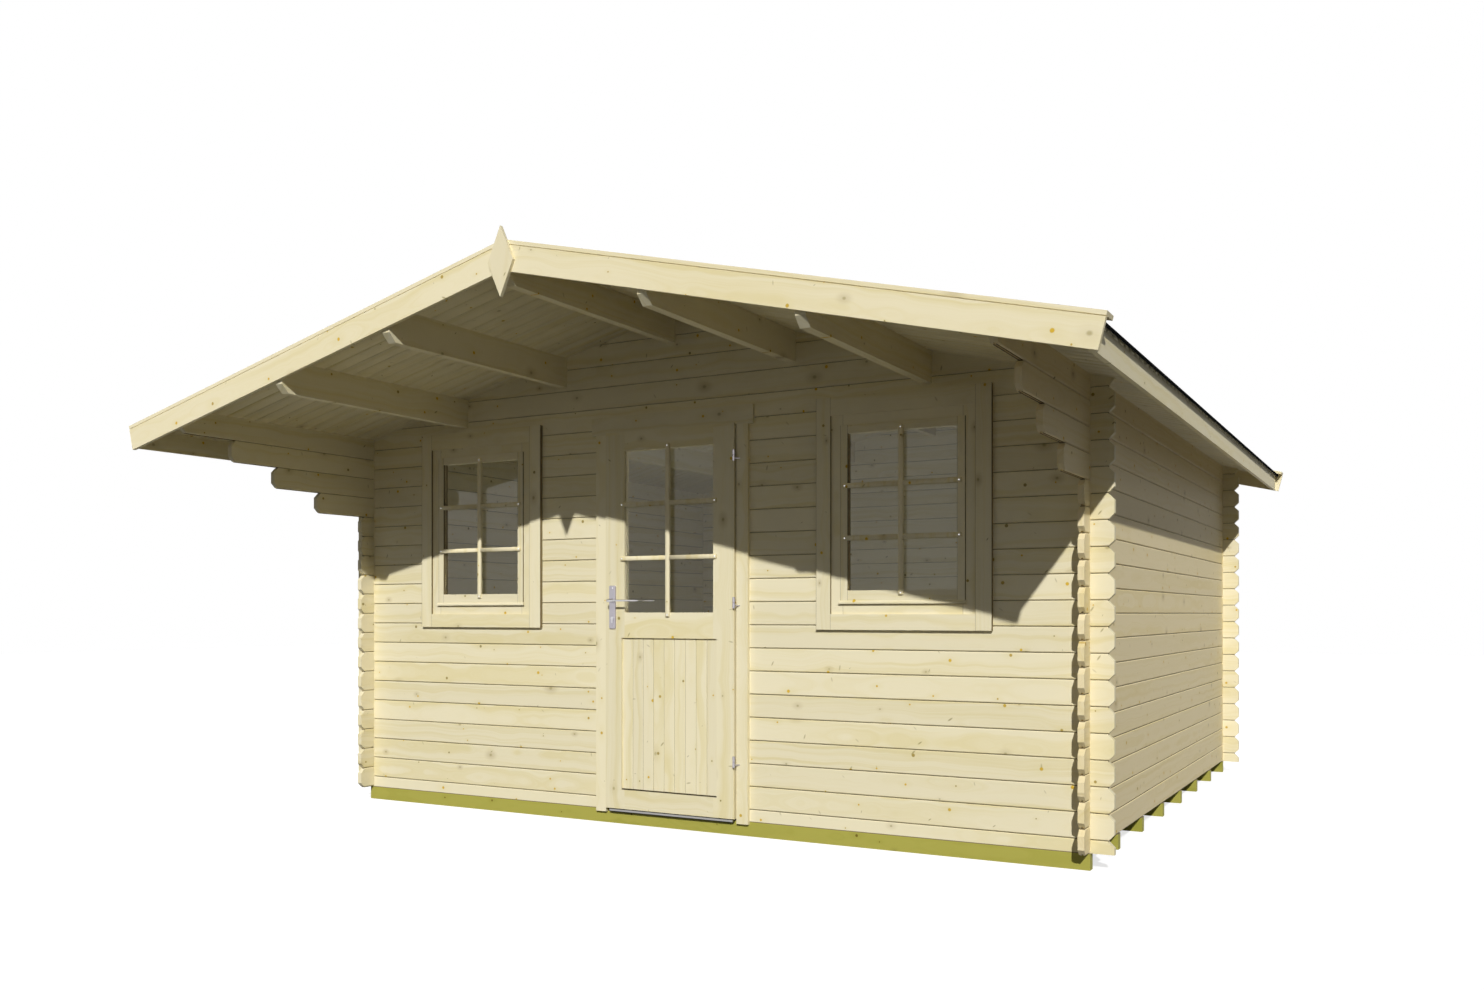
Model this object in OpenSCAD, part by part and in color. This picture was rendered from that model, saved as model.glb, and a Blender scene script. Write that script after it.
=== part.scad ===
// Log cabin with a deep gable canopy, on treated foundation beams.
// The origin is on the ground, under the middle of the whole building; the front looks towards -Y.

/* [Logs] */
// Height of one log course, from shoulder to shoulder
log_h = 114; // [100:1:130]
// Thickness of a log
log_t = 28; // [26:1:40]
// Full log courses in a side wall, up to the eave
courses = 18; // [17:1:20]
// How far the log ends stand out past a corner
log_end = 102; // [70:1:108]
// Corner cut off each log end, above and below
end_cut = 28; // [8:1:34]
// Bevel along each log edge that makes the vee between courses
vee = 3.5; // [1:0.5:5]
// Height of the open joint between two courses, behind the vee
seam = 3; // [0.5:0.5:4]
// Depth of that open joint from the face of the log
seam_d = 7; // [6:0.5:8]
// Width of the tongue on top of a log
tongue_w = 9; // [6:0.5:11]
// Height of the tongue
tongue_h = 8; // [5:0.5:12]
// Play in the grooves, notches and purlin seats
play = 0.5; // [0.3:0.1:1]

/* [Walls] */
// Width over the outer faces of the side walls
wall_w = 4250; // [4000:10:4700]
// Depth over the outer faces of the front and back walls
wall_d = 3815; // [3000:5:4600]
// Reach of the lowest canopy bracket log in front of the front wall
bracket_low = 430; // [300:5:600]
// Reach of the middle canopy bracket log
bracket_mid = 725; // [620:5:900]
// Reach of the highest canopy bracket log under the wall plate log
bracket_high = 1000; // [920:5:1200]

/* [Base] */
// Height of a foundation beam
beam_h = 75; // [45:1:120]
// Thickness of a foundation beam
beam_t = 45; // [38:1:75]
// Number of foundation beams
beam_count = 8; // [5:1:10]
// Thickness of the floor boarding
floor_t = 19; // [16:1:28]
// Gap between the floor and the walls
floor_gap = 5; // [3:1:10]

/* [Roof] */
// Slope of the roof
roof_angle = 13.5; // [11:0.5:16]
// Gap between the roof and what carries it, and between its two slopes
seat_gap = 0.1; // [0.05:0.05:0.5]
// Thickness of the roof boarding
board_t = 16; // [14:1:22]
// Thickness of the roofing felt
felt_t = 3; // [2:0.5:5]
// How far the felt's turned-down edge hangs below the boards
felt_drop = 4; // [0:1:8]
// From the front wall to the front of the bargeboards
front_overhang = 1312; // [1250:2:1500]
// From the back wall to the back of the rear bargeboards
rear_overhang = 130; // [128:2:250]
// From a side wall out to the lower ends of the bargeboards
eave_overhang = 363; // [200:1:500]
// How far the eave edge of the roof boards lies behind the bargeboards' ends
eave_back = 28; // [4:1:40]
// Height of a bargeboard, square to the slope
barge_h = 112; // [90:1:150]
// Thickness of a bargeboard
barge_t = 18; // [15:1:20]
// Height of the shadow groove on a bargeboard, under its cover board
groove_h = 3; // [2:0.5:6]
// Depth of that shadow groove
shadow_d = 5; // [3:0.5:8]
// Width of the cover board that lies on the verge
cover_w = 90; // [60:1:120]
// Thickness of that cover board
cover_t = 16; // [12:1:22]
// Height of the eave fascia
fascia_h = 94; // [60:1:110]
// Thickness of the eave fascia
fascia_t = 18; // [15:1:22]
// How far the roof edge stands out past the fascia
fascia_inset = 13; // [10:1:50]
// Thickness of a purlin
purlin_t = 44; // [36:1:60]
// Height of a purlin
purlin_h = 150; // [120:1:158]
// From the ridge to the inner purlins
purlin_inner = 690; // [600:5:760]
// From the ridge to the outer purlins
purlin_outer = 1387; // [1300:1:1450]
// Bevel on the lower end of a purlin
purlin_bevel = 40; // [10:1:60]
// Height of the diamond at the gable peak
finial_h = 300; // [240:2:400]
// Width of that diamond
finial_w = 135; // [90:1:180]
// Thickness of that diamond
finial_t = 16; // [12:1:25]
// How far the middle of the diamond lies below the bottom of the roof boards at the ridge
finial_drop = 60; // [30:1:100]

/* [Windows] */
// From the middle of the front to the middle of a window
window_x = 1265; // [1160:1:1300]
// Width of the hole in the logs for a window
window_w = 753; // [600:1:800]
// Whole log courses below a window
window_sill_course = 8; // [6:1:9]
// Width of the frame at the sides
frame_side = 67; // [50:1:90]
// Height of the frame at the top
frame_head = 77; // [60:1:100]
// Height of the frame at the bottom
frame_sill = 102; // [80:1:120]
// How far the frame stands out in front of the logs
frame_proud = 9; // [4:1:14]
// Depth of a window frame from front to back
frame_depth = 55; // [50:1:70]
// Depth of the stop that the sash closes against
stop_w = 14; // [8:1:20]
// Width of the sash at the sides
sash_side = 38; // [30:1:60]
// Height of the sash at the top
sash_top = 39; // [30:1:60]
// Height of the sash at the bottom
sash_bottom = 63; // [40:1:80]
// How far the sash stands out in front of its frame
sash_proud = 5; // [2:1:8]
// Thickness of a sash
sash_t = 36; // [30:1:38]
// Gap around a sash
sash_gap = 1.5; // [1:0.5:4]
// Height of the drip strip at the foot of a sash
drip_h = 16; // [10:1:30]
// How far the drip strip stands out in front of the sash
drip_out = 9; // [5:1:15]
// Height of the drip strip's front edge
drip_nose = 7; // [4:1:9]
// How far the drip strip reaches past the sides of the sash
drip_ear = 7; // [2:1:15]
// Thickness of the glass in windows and door
glass_t = 4; // [3:0.5:8]
// Depth of the grooves that hold glass and panel
groove_d = 8; // [5:1:12]

/* [Casing boards] */
// Thickness of the casing boards
casing_t = 20; // [16:1:24]
// Width of a window's side casing
casing_side = 76; // [60:1:90]
// How far a side casing laps over the frame
casing_side_lap = 20; // [10:1:40]
// Height of a window's head casing
casing_head = 88; // [70:1:95]
// How far the head casing laps over the frame
casing_head_lap = 30; // [15:1:50]
// Height of a window's sill casing
casing_sill = 74; // [60:1:90]
// How far the sill casing laps over the frame
casing_sill_lap = 55; // [30:1:70]
// Width of the door's side casing
door_casing_w = 64; // [50:1:90]
// How far the door's side casing hangs down below the logs
door_casing_drop = 15; // [5:1:30]
// Height of the door's head casing
door_casing_head = 94; // [70:1:98]
// How far the door's head casing reaches past the side casings
door_casing_ear = 28; // [10:1:50]

/* [Door] */
// Width of the door leaf
leaf_w = 776; // [700:1:860]
// Thickness of the door leaf
leaf_t = 40; // [36:1:48]
// How far the door leaf stands out in front of its casing boards
leaf_proud = 12; // [9:1:16]
// Gap beside and behind the door leaf
leaf_gap = 7; // [6.5:0.5:8]
// Gap over the door leaf
leaf_head_gap = 5.5; // [5:0.5:7]
// Height of the lip on top of the leaf that covers that gap
lip_h = 14; // [8:1:20]
// Gap under the door leaf, over the threshold
leaf_lift = 5; // [5:1:10]
// Thickness of the door frame
jamb_t = 30; // [25:1:45]
// Depth of the stop behind the door leaf
jamb_stop = 20; // [15:1:30]
// Width of the stop behind the door leaf
jamb_lap = 15; // [10:1:25]
// Thickness of the threshold plate
threshold_t = 3; // [2:0.5:6]
// How far the threshold's front lip hangs down over the beam
threshold_lip = 12; // [6:1:25]
// Width of a door stile
stile_w = 120; // [100:1:140]
// Height of the bottom rail
bottom_rail = 100; // [80:1:150]
// Height of the lower edge of the middle rail above the logs' foot
mid_rail_z = 900; // [780:1:920]
// Height of the middle rail
mid_rail = 132; // [100:1:160]
// Height of the top rail
top_rail = 86; // [70:1:140]
// Thickness of the boarded panel
panel_t = 18; // [14:1:24]
// How far the panel reaches past the glass on each side
panel_side = 20; // [10:1:40]
// Number of boards in the panel
panel_boards = 9; // [6:1:12]
// Depth of the vee between panel boards
panel_vee = 3; // [1:0.5:5]

/* [Hinges] */
// Diameter of a hinge knuckle
knuckle_d = 15; // [12:1:20]
// Height of one half of a hinge
knuckle_h = 28; // [20:1:40]
// Bevel on the ends of a knuckle
knuckle_bevel = 1.5; // [0.5:0.5:3]
// Diameter of the hinge pin
hinge_pin_d = 7; // [5:0.5:8]
// Radial play of the pin in its knuckle
pin_play = 0.05; // [0.03:0.01:0.1]
// Diameter of the stud that is screwed into the wood
stud_d = 6; // [4:0.5:8]
// Length of that stud in the wood
stud_in = 16; // [10:1:20]
// Height of the lowest hinge above the logs' foot
hinge_low = 292; // [250:1:400]
// Height of the middle hinge
hinge_mid = 1080; // [900:1:1200]
// Height of the top hinge
hinge_top = 1810; // [1700:1:1850]

/* [Handle] */
// From the leaf's edge to the handle's middle
handle_inset = 47; // [40:1:60]
// Width of the handle plate
plate_w = 40; // [30:1:44]
// Height of the handle plate
plate_h = 225; // [200:1:260]
// Thickness of the handle plate
plate_t = 8; // [4:1:12]
// Height of the plate's lower end above the logs' foot
plate_z = 948; // [940:1:1000]
// Height of the lever above the logs' foot
lever_z = 1094; // [1080:1:1120]
// How far the lever stands off the leaf
lever_off = 52; // [40:1:65]
// Length of the lever from its axis
lever_l = 200; // [110:1:220]
// Thickness of the lever's blade
lever_t = 10; // [8:1:16]
// Diameter of the lever's neck
neck_d = 18; // [14:1:24]
// Play of the neck in its plate
neck_play = 0.3; // [0.2:0.1:0.5]
// Height of the lock cylinder's middle above the logs' foot
lock_z = 1002; // [990:1:1010]
// Diameter of the lock cylinder's barrel
lock_d = 17; // [14:1:18]
// Width of the lock cylinder's stem, under its barrel
lock_stem = 10; // [8:0.5:11]
// Height of the whole lock cylinder
lock_h = 33; // [28:1:36]
// How far the lock cylinder stands out past its plate
lock_proud = 3; // [1:0.5:6]

/* [Hidden] */
$fn = 48;

timber = "wheat";
sawn_timber = "burlywood";
treated_timber = "darkkhaki";
felt_black = "dimgray";
metal = "silver";
pane = "lightblue";
over = 1;

// Plan and heights
total_d = finial_t + front_overhang + wall_d + rear_overhang + finial_t;
front_y = -total_d / 2 + finial_t + front_overhang;
back_y = front_y + wall_d;
side_x = wall_w / 2;
wall_z = beam_h;
eave_h = courses * log_h;
ridge_h = eave_h + side_x * tan(roof_angle);
top_course = ceil(ridge_h / log_h - 0.5);

// Roof
roof_t = board_t + felt_t;
slope_l = (side_x + eave_overhang) / cos(roof_angle);
board_l = slope_l - eave_back;
fascia_x = board_l * cos(roof_angle) - fascia_inset;
verge_front = front_y - front_overhang;
verge_back = back_y + rear_overhang;
roof_front = verge_front + barge_t;
roof_back = verge_back - barge_t;

// Openings in the front wall, from the logs' foot
opening_top = (courses - 0.5) * log_h;
sill_h = (window_sill_course + 0.5) * log_h;
door_half = leaf_w / 2 + leaf_gap + jamb_t;

// Windows
frame_front = front_y - frame_proud;
frame_in = window_w / 2 - frame_side;
frame_bottom = sill_h + frame_sill;
frame_top = opening_top - frame_head;
sash_front = frame_front - sash_proud;
sash_back = sash_front + sash_t;
pane_y = sash_front + sash_t / 2 - glass_t / 2;
pane_half = frame_in - sash_gap - sash_side;
pane_bottom = frame_bottom + sash_gap + sash_bottom;
pane_top = frame_top - sash_gap - sash_top;
casing_in = window_w / 2 - casing_side_lap;
casing_bottom = sill_h + casing_sill_lap - casing_sill;
casing_top = opening_top - casing_head_lap + casing_head;

// Door
casing_front = front_y - casing_t;
leaf_front = casing_front - leaf_proud;
leaf_back = leaf_front + leaf_t;
leaf_half = leaf_w / 2;
leaf_bottom = threshold_t + leaf_lift;
leaf_top = opening_top - jamb_t - leaf_head_gap;
lip_back = casing_front - leaf_head_gap;
stile_in = leaf_half - stile_w;
panel_half = stile_in + panel_side;
rail_bottom = leaf_bottom + bottom_rail;
glass_bottom = mid_rail_z + mid_rail;
glass_top = leaf_top - top_rail;
leaf_mid = leaf_front + leaf_t / 2;
jamb_back = leaf_back + leaf_gap + jamb_stop;
door_casing_in = leaf_half + leaf_gap;
door_casing_out = door_casing_in + door_casing_w;

// Hinges and handle
hinge_x = leaf_half + leaf_gap / 2;
hinge_y = leaf_front - knuckle_d / 2 - play;
hinge_heights = [hinge_low, hinge_mid, hinge_top];
hinge_slit = 0.4;
handle_x = -leaf_half + handle_inset;

// Height of the underside of the roof boards over the logs' foot
function roof_at(x) = ridge_h - abs(x) * tan(roof_angle);

// A plain board between two corners, with heights measured from the logs' foot
module board(low, high) {
    translate([low[0], low[1], low[2] + wall_z])
        cube(high - low);
}

// The same piece on the left and on the right
module both_sides() {
    children();
    mirror([1, 0, 0])
        children();
}

// The same piece at both windows
module both_windows() {
    for (side = [-1, 1])
        translate([side * window_x, 0, 0])
            children();
}

// Lower edge of a log's cross-section, from face to face: vee, open joint and seat on the log below
function log_foot() = [
    [0, seam + vee], [vee, seam], [seam_d, seam], [seam_d, 0],
    [log_t - seam_d, 0], [log_t - seam_d, seam], [log_t - vee, seam], [log_t, seam + vee]
];

// Groove under a log for the tongue of the log below
module log_groove() {
    translate([(log_t - tongue_w) / 2 - play, -over])
        square([tongue_w + 2 * play, tongue_h + play + over]);
}

// Cross-section of a log: vee edges, a groove below and a tongue above
module log_section(groove = true) {
    difference() {
        union() {
            polygon(concat(
                log_foot(),
                [[log_t, log_h - vee], [log_t - vee, log_h], [vee, log_h], [0, log_h - vee]]
            ));
            translate([(log_t - tongue_w) / 2, log_h / 2])
                square([tongue_w, log_h / 2 + tongue_h]);
        }
        if (groove)
            log_groove();
    }
}

// Cross-section of the highest side log: its top is planed to the roof slope
module plate_section() {
    difference() {
        polygon(concat(log_foot(), [[log_t, log_h + log_t * tan(roof_angle)], [0, log_h]]));
        log_groove();
    }
}

// Cross-section of the half log under the front and back walls
module half_section() {
    difference() {
        translate([0, -log_h / 2])
            log_section(groove = false);
        translate([-over, -log_h])
            square([log_t + 2 * over, log_h]);
    }
}

// Face of a log from u0 to u1, with its end corners cut off
module log_face(u0, u1, foot, head) {
    rise = tongue_h;
    polygon([
        [u0, foot + end_cut], [u0 + end_cut, foot],
        [u1 - end_cut, foot], [u1, foot + end_cut],
        [u1, head - end_cut], [u1 - end_cut - rise, head + rise],
        [u0 + end_cut + rise, head + rise], [u0, head - end_cut]
    ]);
}

// Notches above and below where a log crosses another wall, whose faces are at u0 and u1
module log_notches(u0, u1, middle) {
    for (dir = [0, 1])
        translate([u0 - play, middle])
            mirror([0, dir])
                translate([0, log_h / 4])
                    square([u1 - u0 + 2 * play, log_h]);
}

// A log along X: its face, as children(0), runs through its cross-section, children(1)
module log_solid(foot, length) {
    intersection() {
        translate([0, log_t + over, 0])
            rotate([90, 0, 0])
                linear_extrude(log_t + 2 * over)
                    children(0);
        translate([-length / 2, 0, foot])
            rotate([90, 0, 90])
                linear_extrude(length)
                    children(1);
    }
}

// Outline of a gable wall under the roof, without the purlin seats
module gable_outline() {
    reach = side_x + log_end + over;
    difference() {
        polygon([
            [-reach, 0], [reach, 0], [reach, roof_at(reach)],
            [0, ridge_h], [-reach, roof_at(reach)]
        ]);
        for (x = [-purlin_outer, -purlin_inner, 0, purlin_inner, purlin_outer])
            translate([x - purlin_t / 2 - play, roof_at(x) - purlin_h])
                square([purlin_t + 2 * play, purlin_h + purlin_t]);
    }
}

// Holes for the door and the two windows
module front_openings() {
    translate([-door_half, -over])
        square([2 * door_half, opening_top + over]);
    for (side = [-1, 1])
        translate([side * window_x - window_w / 2, sill_h])
            square([window_w, opening_top - sill_h]);
}

// One log of a gable wall, whose middle lies at the given course line
module gable_log(course, has_openings) {
    reach = side_x + log_end;
    middle = course * log_h;
    log_solid(max(middle - log_h / 2, 0), 2 * reach + 2 * over) {
        difference() {
            intersection() {
                log_face(-reach, reach, middle - log_h / 2, middle + log_h / 2);
                gable_outline();
            }
            for (side = [-1, 1])
                log_notches(
                    side * (side_x - log_t / 2) - log_t / 2,
                    side * (side_x - log_t / 2) + log_t / 2,
                    middle
                );
            if (has_openings)
                front_openings();
        }
        if (course == 0)
            half_section();
        else
            log_section();
    }
}

// Every second log of a gable wall, with its outer face on the XZ plane
module gable_logs(first, has_openings) {
    for (course = [first : 2 : top_course])
        gable_log(course, has_openings);
}

// How far a side log reaches in front of the front wall
function log_reach(course) =
    course == courses - 1 ? front_overhang - barge_t :
    course == courses - 2 ? bracket_high :
    course == courses - 3 ? bracket_mid :
    course == courses - 4 ? bracket_low : log_end;

// One log of a side wall; u runs from front to back
module side_log(course) {
    foot = course * log_h;
    middle = foot + log_h / 2;
    is_plate = course == courses - 1;
    u0 = front_y - log_reach(course);
    log_solid(foot, 2 * total_d) {
        difference() {
            union() {
                log_face(u0, back_y + log_end, foot, foot + log_h);
                if (is_plate)
                    translate([u0, middle])
                        square([back_y + log_end - u0, 2 * log_h]);
            }
            log_notches(front_y, front_y + log_t, middle);
            log_notches(back_y - log_t, back_y, middle);
        }
        if (is_plate)
            plate_section();
        else
            log_section();
    }
}

// Every second log of the right wall
module right_logs(first) {
    translate([side_x, 0, wall_z])
        rotate([0, 0, 90])
            for (course = [first : 2 : courses - 1])
                side_log(course);
}

module foundation_beams() {
    pitch = (wall_d - beam_t) / (beam_count - 1);
    color(treated_timber)
        for (i = [0 : beam_count - 1])
            translate([-side_x, front_y + i * pitch, 0])
                cube([wall_w, beam_t, beam_h]);
}

// The floor lies on the beams and is cut back round the door frame
module floor() {
    inset = log_t + floor_gap;
    color(sawn_timber)
        difference() {
            board(
                [inset - side_x, front_y + inset, 0],
                [side_x - inset, back_y - inset, floor_t]
            );
            board(
                [-door_half - floor_gap, front_y, -over],
                [door_half + floor_gap, jamb_back + floor_gap, floor_t + over]
            );
        }
}

module front_wall_odd_logs() {
    color(timber)
        translate([0, front_y, wall_z])
            gable_logs(1, true);
}

module front_wall_even_logs() {
    color(timber)
        translate([0, front_y, wall_z])
            gable_logs(0, true);
}

module back_wall_odd_logs() {
    color(timber)
        translate([0, back_y, wall_z])
            mirror([0, 1, 0])
                gable_logs(1, false);
}

module back_wall_even_logs() {
    color(timber)
        translate([0, back_y, wall_z])
            mirror([0, 1, 0])
                gable_logs(0, false);
}

module right_wall_odd_logs() {
    color(timber)
        right_logs(1);
}

module right_wall_even_logs() {
    color(timber)
        right_logs(0);
}

module left_wall_odd_logs() {
    color(timber)
        mirror([1, 0, 0])
            right_logs(1);
}

module left_wall_even_logs() {
    color(timber)
        mirror([1, 0, 0])
            right_logs(0);
}

// A purlin whose middle is at x: its top follows the roof, its lower ends are bevelled
module purlin(x) {
    foot = roof_at(x) - purlin_h;
    head = ridge_h + over;
    intersection() {
        translate([0, roof_back + over, wall_z])
            rotate([90, 0, 0])
                linear_extrude(roof_back - roof_front + 2 * over)
                    polygon([
                        [x - purlin_t / 2, foot], [x + purlin_t / 2, foot],
                        [x + purlin_t / 2, roof_at(x + purlin_t / 2)],
                        [x, roof_at(x)],
                        [x - purlin_t / 2, roof_at(x - purlin_t / 2)]
                    ]);
        translate([x - purlin_t, 0, wall_z])
            rotate([90, 0, 90])
                linear_extrude(2 * purlin_t)
                    polygon([
                        [roof_front, foot + purlin_bevel], [roof_front + purlin_bevel, foot],
                        [roof_back - purlin_bevel, foot], [roof_back, foot + purlin_bevel],
                        [roof_back, head], [roof_front, head]
                    ]);
    }
}

module ridge_purlin() {
    color(timber)
        purlin(0);
}

module right_purlins() {
    color(timber) {
        purlin(purlin_inner);
        purlin(purlin_outer);
    }
}

module left_purlins() {
    color(timber)
        mirror([1, 0, 0]) {
            purlin(purlin_inner);
            purlin(purlin_outer);
        }
}

// Extrudes along Y a section of the right roof slope: x down the slope from the ridge, y square to it
module on_slope(y0, y1) {
    translate([0, y1, wall_z + ridge_h + seat_gap])
        rotate([0, roof_angle, 0])
            rotate([90, 0, 0])
                linear_extrude(y1 - y0)
                    children();
}

// A layer of the slope from n0 to n1, mitred at the ridge and of the given length
module slope_layer(n0, n1, length) {
    polygon([
        [seat_gap - n0 * tan(roof_angle), n0], [length, n0],
        [length, n1], [seat_gap - n1 * tan(roof_angle), n1]
    ]);
}

module slope_boards() {
    color(sawn_timber)
        on_slope(roof_front, roof_back)
            slope_layer(0, board_t, board_l);
}

// The felt lies on the boards and is turned down over their ends at the eave
module slope_felt() {
    color(felt_black)
        on_slope(roof_front, roof_back) {
            slope_layer(board_t, roof_t, board_l);
            translate([board_l, -felt_drop])
                square([felt_t, roof_t + felt_drop]);
        }
}

// Bargeboards of one slope, at the front and at the rear, with a shadow groove under their cover boards
module slope_bargeboards() {
    foot = roof_t - barge_h;
    color(timber) {
        on_slope(verge_front, roof_front)
            slope_layer(foot, roof_t - groove_h, slope_l);
        on_slope(verge_front + shadow_d, roof_front)
            slope_layer(foot, roof_t, slope_l);
        on_slope(roof_back, verge_back)
            slope_layer(foot, roof_t - groove_h, slope_l);
        on_slope(roof_back, verge_back - shadow_d)
            slope_layer(foot, roof_t, slope_l);
    }
}

// Cover boards of one slope, flat on the felt and the bargeboards
module slope_covers() {
    color(timber)
        for (y = [verge_front, verge_back - cover_w])
            on_slope(y, y + cover_w)
                slope_layer(roof_t, roof_t + cover_t, slope_l);
}

// Eave fascia: it hangs plumb, and its top follows the underside of the roof boards
module slope_fascia() {
    top = roof_at(fascia_x);
    rise = fascia_t * tan(roof_angle);
    color(timber)
        translate([0, roof_back, wall_z + seat_gap])
            rotate([90, 0, 0])
                linear_extrude(roof_back - roof_front)
                    polygon([
                        [fascia_x - fascia_t, top - fascia_h], [fascia_x, top - fascia_h],
                        [fascia_x, top], [fascia_x - fascia_t, top + rise]
                    ]);
}

module right_roof_boards() {
    slope_boards();
}

module left_roof_boards() {
    mirror([1, 0, 0])
        slope_boards();
}

module right_roof_felt() {
    slope_felt();
}

module left_roof_felt() {
    mirror([1, 0, 0])
        slope_felt();
}

module right_bargeboards() {
    slope_bargeboards();
}

module left_bargeboards() {
    mirror([1, 0, 0])
        slope_bargeboards();
}

module right_verge_covers() {
    slope_covers();
}

module left_verge_covers() {
    mirror([1, 0, 0])
        slope_covers();
}

module right_eave_fascia() {
    slope_fascia();
}

module left_eave_fascia() {
    mirror([1, 0, 0])
        slope_fascia();
}

// A diamond on each gable peak, in front of the joint of the bargeboards
module gable_finials() {
    color(timber)
        for (y = [verge_front, verge_back + finial_t])
            translate([0, y, wall_z + ridge_h - finial_drop])
                rotate([90, 0, 0])
                    linear_extrude(finial_t)
                        polygon([
                            [-finial_w / 2, 0], [0, -finial_h / 2],
                            [finial_w / 2, 0], [0, finial_h / 2]
                        ]);
}

module window_casing_sides() {
    color(timber)
        both_windows()
            both_sides()
                board(
                    [casing_in, casing_front, casing_bottom],
                    [casing_in + casing_side, front_y, casing_top]
                );
}

module window_casing_heads_and_sills() {
    color(timber)
        both_windows() {
            board(
                [-casing_in, casing_front, casing_bottom],
                [casing_in, front_y, casing_bottom + casing_sill]
            );
            board(
                [-casing_in, casing_front, casing_top - casing_head],
                [casing_in, front_y, casing_top]
            );
        }
}

// Space that the casing boards take up in front of the frame
module casing_space() {
    board(
        [-window_w, casing_front - over, casing_bottom - over],
        [window_w, front_y, casing_bottom + casing_sill]
    );
    board(
        [-window_w, casing_front - over, casing_top - casing_head],
        [window_w, front_y, casing_top + over]
    );
    both_sides()
        board(
            [casing_in, casing_front - over, casing_bottom - over],
            [window_w, front_y, casing_top + over]
        );
}

// Space of the sash in its frame, with the gap round it
module sash_space() {
    board(
        [-frame_in, sash_front - over, frame_bottom],
        [frame_in, sash_back, frame_top]
    );
}

module window_frame_sides() {
    color(timber)
        both_windows()
            difference() {
                both_sides()
                    board(
                        [frame_in - stop_w, frame_front, sill_h],
                        [window_w / 2, frame_front + frame_depth, opening_top]
                    );
                sash_space();
                casing_space();
            }
}

module window_frame_heads_and_sills() {
    half = frame_in - stop_w;
    color(timber)
        both_windows()
            difference() {
                union() {
                    board(
                        [-half, frame_front, sill_h],
                        [half, frame_front + frame_depth, frame_bottom + stop_w]
                    );
                    board(
                        [-half, frame_front, frame_top - stop_w],
                        [half, frame_front + frame_depth, opening_top]
                    );
                }
                sash_space();
                casing_space();
            }
}

// A pane with the part of it that sits in the grooves
module window_glass(extra = 0) {
    board(
        [-pane_half - groove_d - extra, pane_y - extra, pane_bottom - groove_d - extra],
        [pane_half + groove_d + extra, pane_y + glass_t + extra, pane_top + groove_d + extra]
    );
}

module window_sash_stiles() {
    outer = frame_in - sash_gap;
    color(timber)
        both_windows()
            difference() {
                both_sides()
                    board(
                        [pane_half, sash_front, frame_bottom + sash_gap],
                        [outer, sash_back, frame_top - sash_gap]
                    );
                window_glass(play);
            }
}

// Drip strip along the foot of a sash, with a sloped top
module sash_drip() {
    half = frame_in - sash_gap + drip_ear;
    translate([-half, sash_front, frame_bottom + sash_gap + wall_z])
        rotate([90, 0, 90])
            linear_extrude(2 * half)
                polygon([[-drip_out, 0], [0, 0], [0, drip_h], [-drip_out, drip_nose]]);
}

module window_sash_rails() {
    color(timber)
        both_windows() {
            sash_drip();
            difference() {
                union() {
                    board(
                        [-pane_half, sash_front, frame_bottom + sash_gap],
                        [pane_half, sash_back, pane_bottom]
                    );
                    board(
                        [-pane_half, sash_front, pane_top],
                        [pane_half, sash_back, frame_top - sash_gap]
                    );
                }
                window_glass(play);
            }
        }
}

module window_panes() {
    color(pane)
        both_windows()
            window_glass();
}

// A hinge knuckle with bevelled ends
module knuckle() {
    r = knuckle_d / 2;
    rotate_extrude()
        polygon([
            [0, 0], [r - knuckle_bevel, 0], [r, knuckle_bevel],
            [r, knuckle_h - knuckle_bevel], [r - knuckle_bevel, knuckle_h], [0, knuckle_h]
        ]);
}

// Half of a hinge: a knuckle on the axis and a stud that runs into the wood on its side
module hinge_half(side, foot) {
    difference() {
        union() {
            translate([hinge_x, hinge_y, foot + wall_z])
                knuckle();
            hinge_stud(side, foot + knuckle_h / 2);
        }
        if (side < 0)
            translate([hinge_x, hinge_y, foot + wall_z - over])
                cylinder(r = hinge_pin_d / 2 + pin_play, h = knuckle_h + 2 * over);
    }
    if (side > 0)
        translate([hinge_x, hinge_y, foot + wall_z])
            cylinder(d = hinge_pin_d, h = 2 * knuckle_h + hinge_slit);
}

// Stud of a hinge half, slanted into the wood behind it: the casing lies further back than the leaf
module hinge_stud(side, height, extra = 0) {
    back = side > 0 ? leaf_proud : 0;
    length = (knuckle_d / 2 + play + back + stud_in) * sqrt(2);
    start = hinge_pin_d / 2 + 2 * pin_play;
    translate([hinge_x, hinge_y, height + wall_z])
        rotate([0, 0, 90 - side * 45])
            rotate([0, 90, 0])
                translate([0, 0, start])
                    cylinder(d = stud_d + 2 * extra, h = length - start + extra);
}

// Holes for the studs of one side of the hinges
module stud_holes(side) {
    lift = side < 0 ? knuckle_h + hinge_slit : 0;
    for (z = hinge_heights)
        hinge_stud(side, z - knuckle_h + lift + knuckle_h / 2, play / 5);
}

module frame_hinge_knuckles() {
    color(metal)
        for (z = hinge_heights)
            hinge_half(1, z - knuckle_h);
}

module door_hinge_knuckles() {
    color(metal)
        for (z = hinge_heights)
            hinge_half(-1, z + hinge_slit);
}

module door_casing_sides() {
    color(timber)
        difference() {
            both_sides()
                board(
                    [door_casing_in, casing_front, -door_casing_drop],
                    [door_casing_out, front_y, opening_top - jamb_t]
                );
            stud_holes(1);
        }
}

module door_casing_head() {
    reach = door_casing_out + door_casing_ear;
    foot = opening_top - jamb_t;
    color(timber)
        board(
            [-reach, casing_front, foot],
            [reach, front_y, foot + door_casing_head]
        );
}

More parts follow.
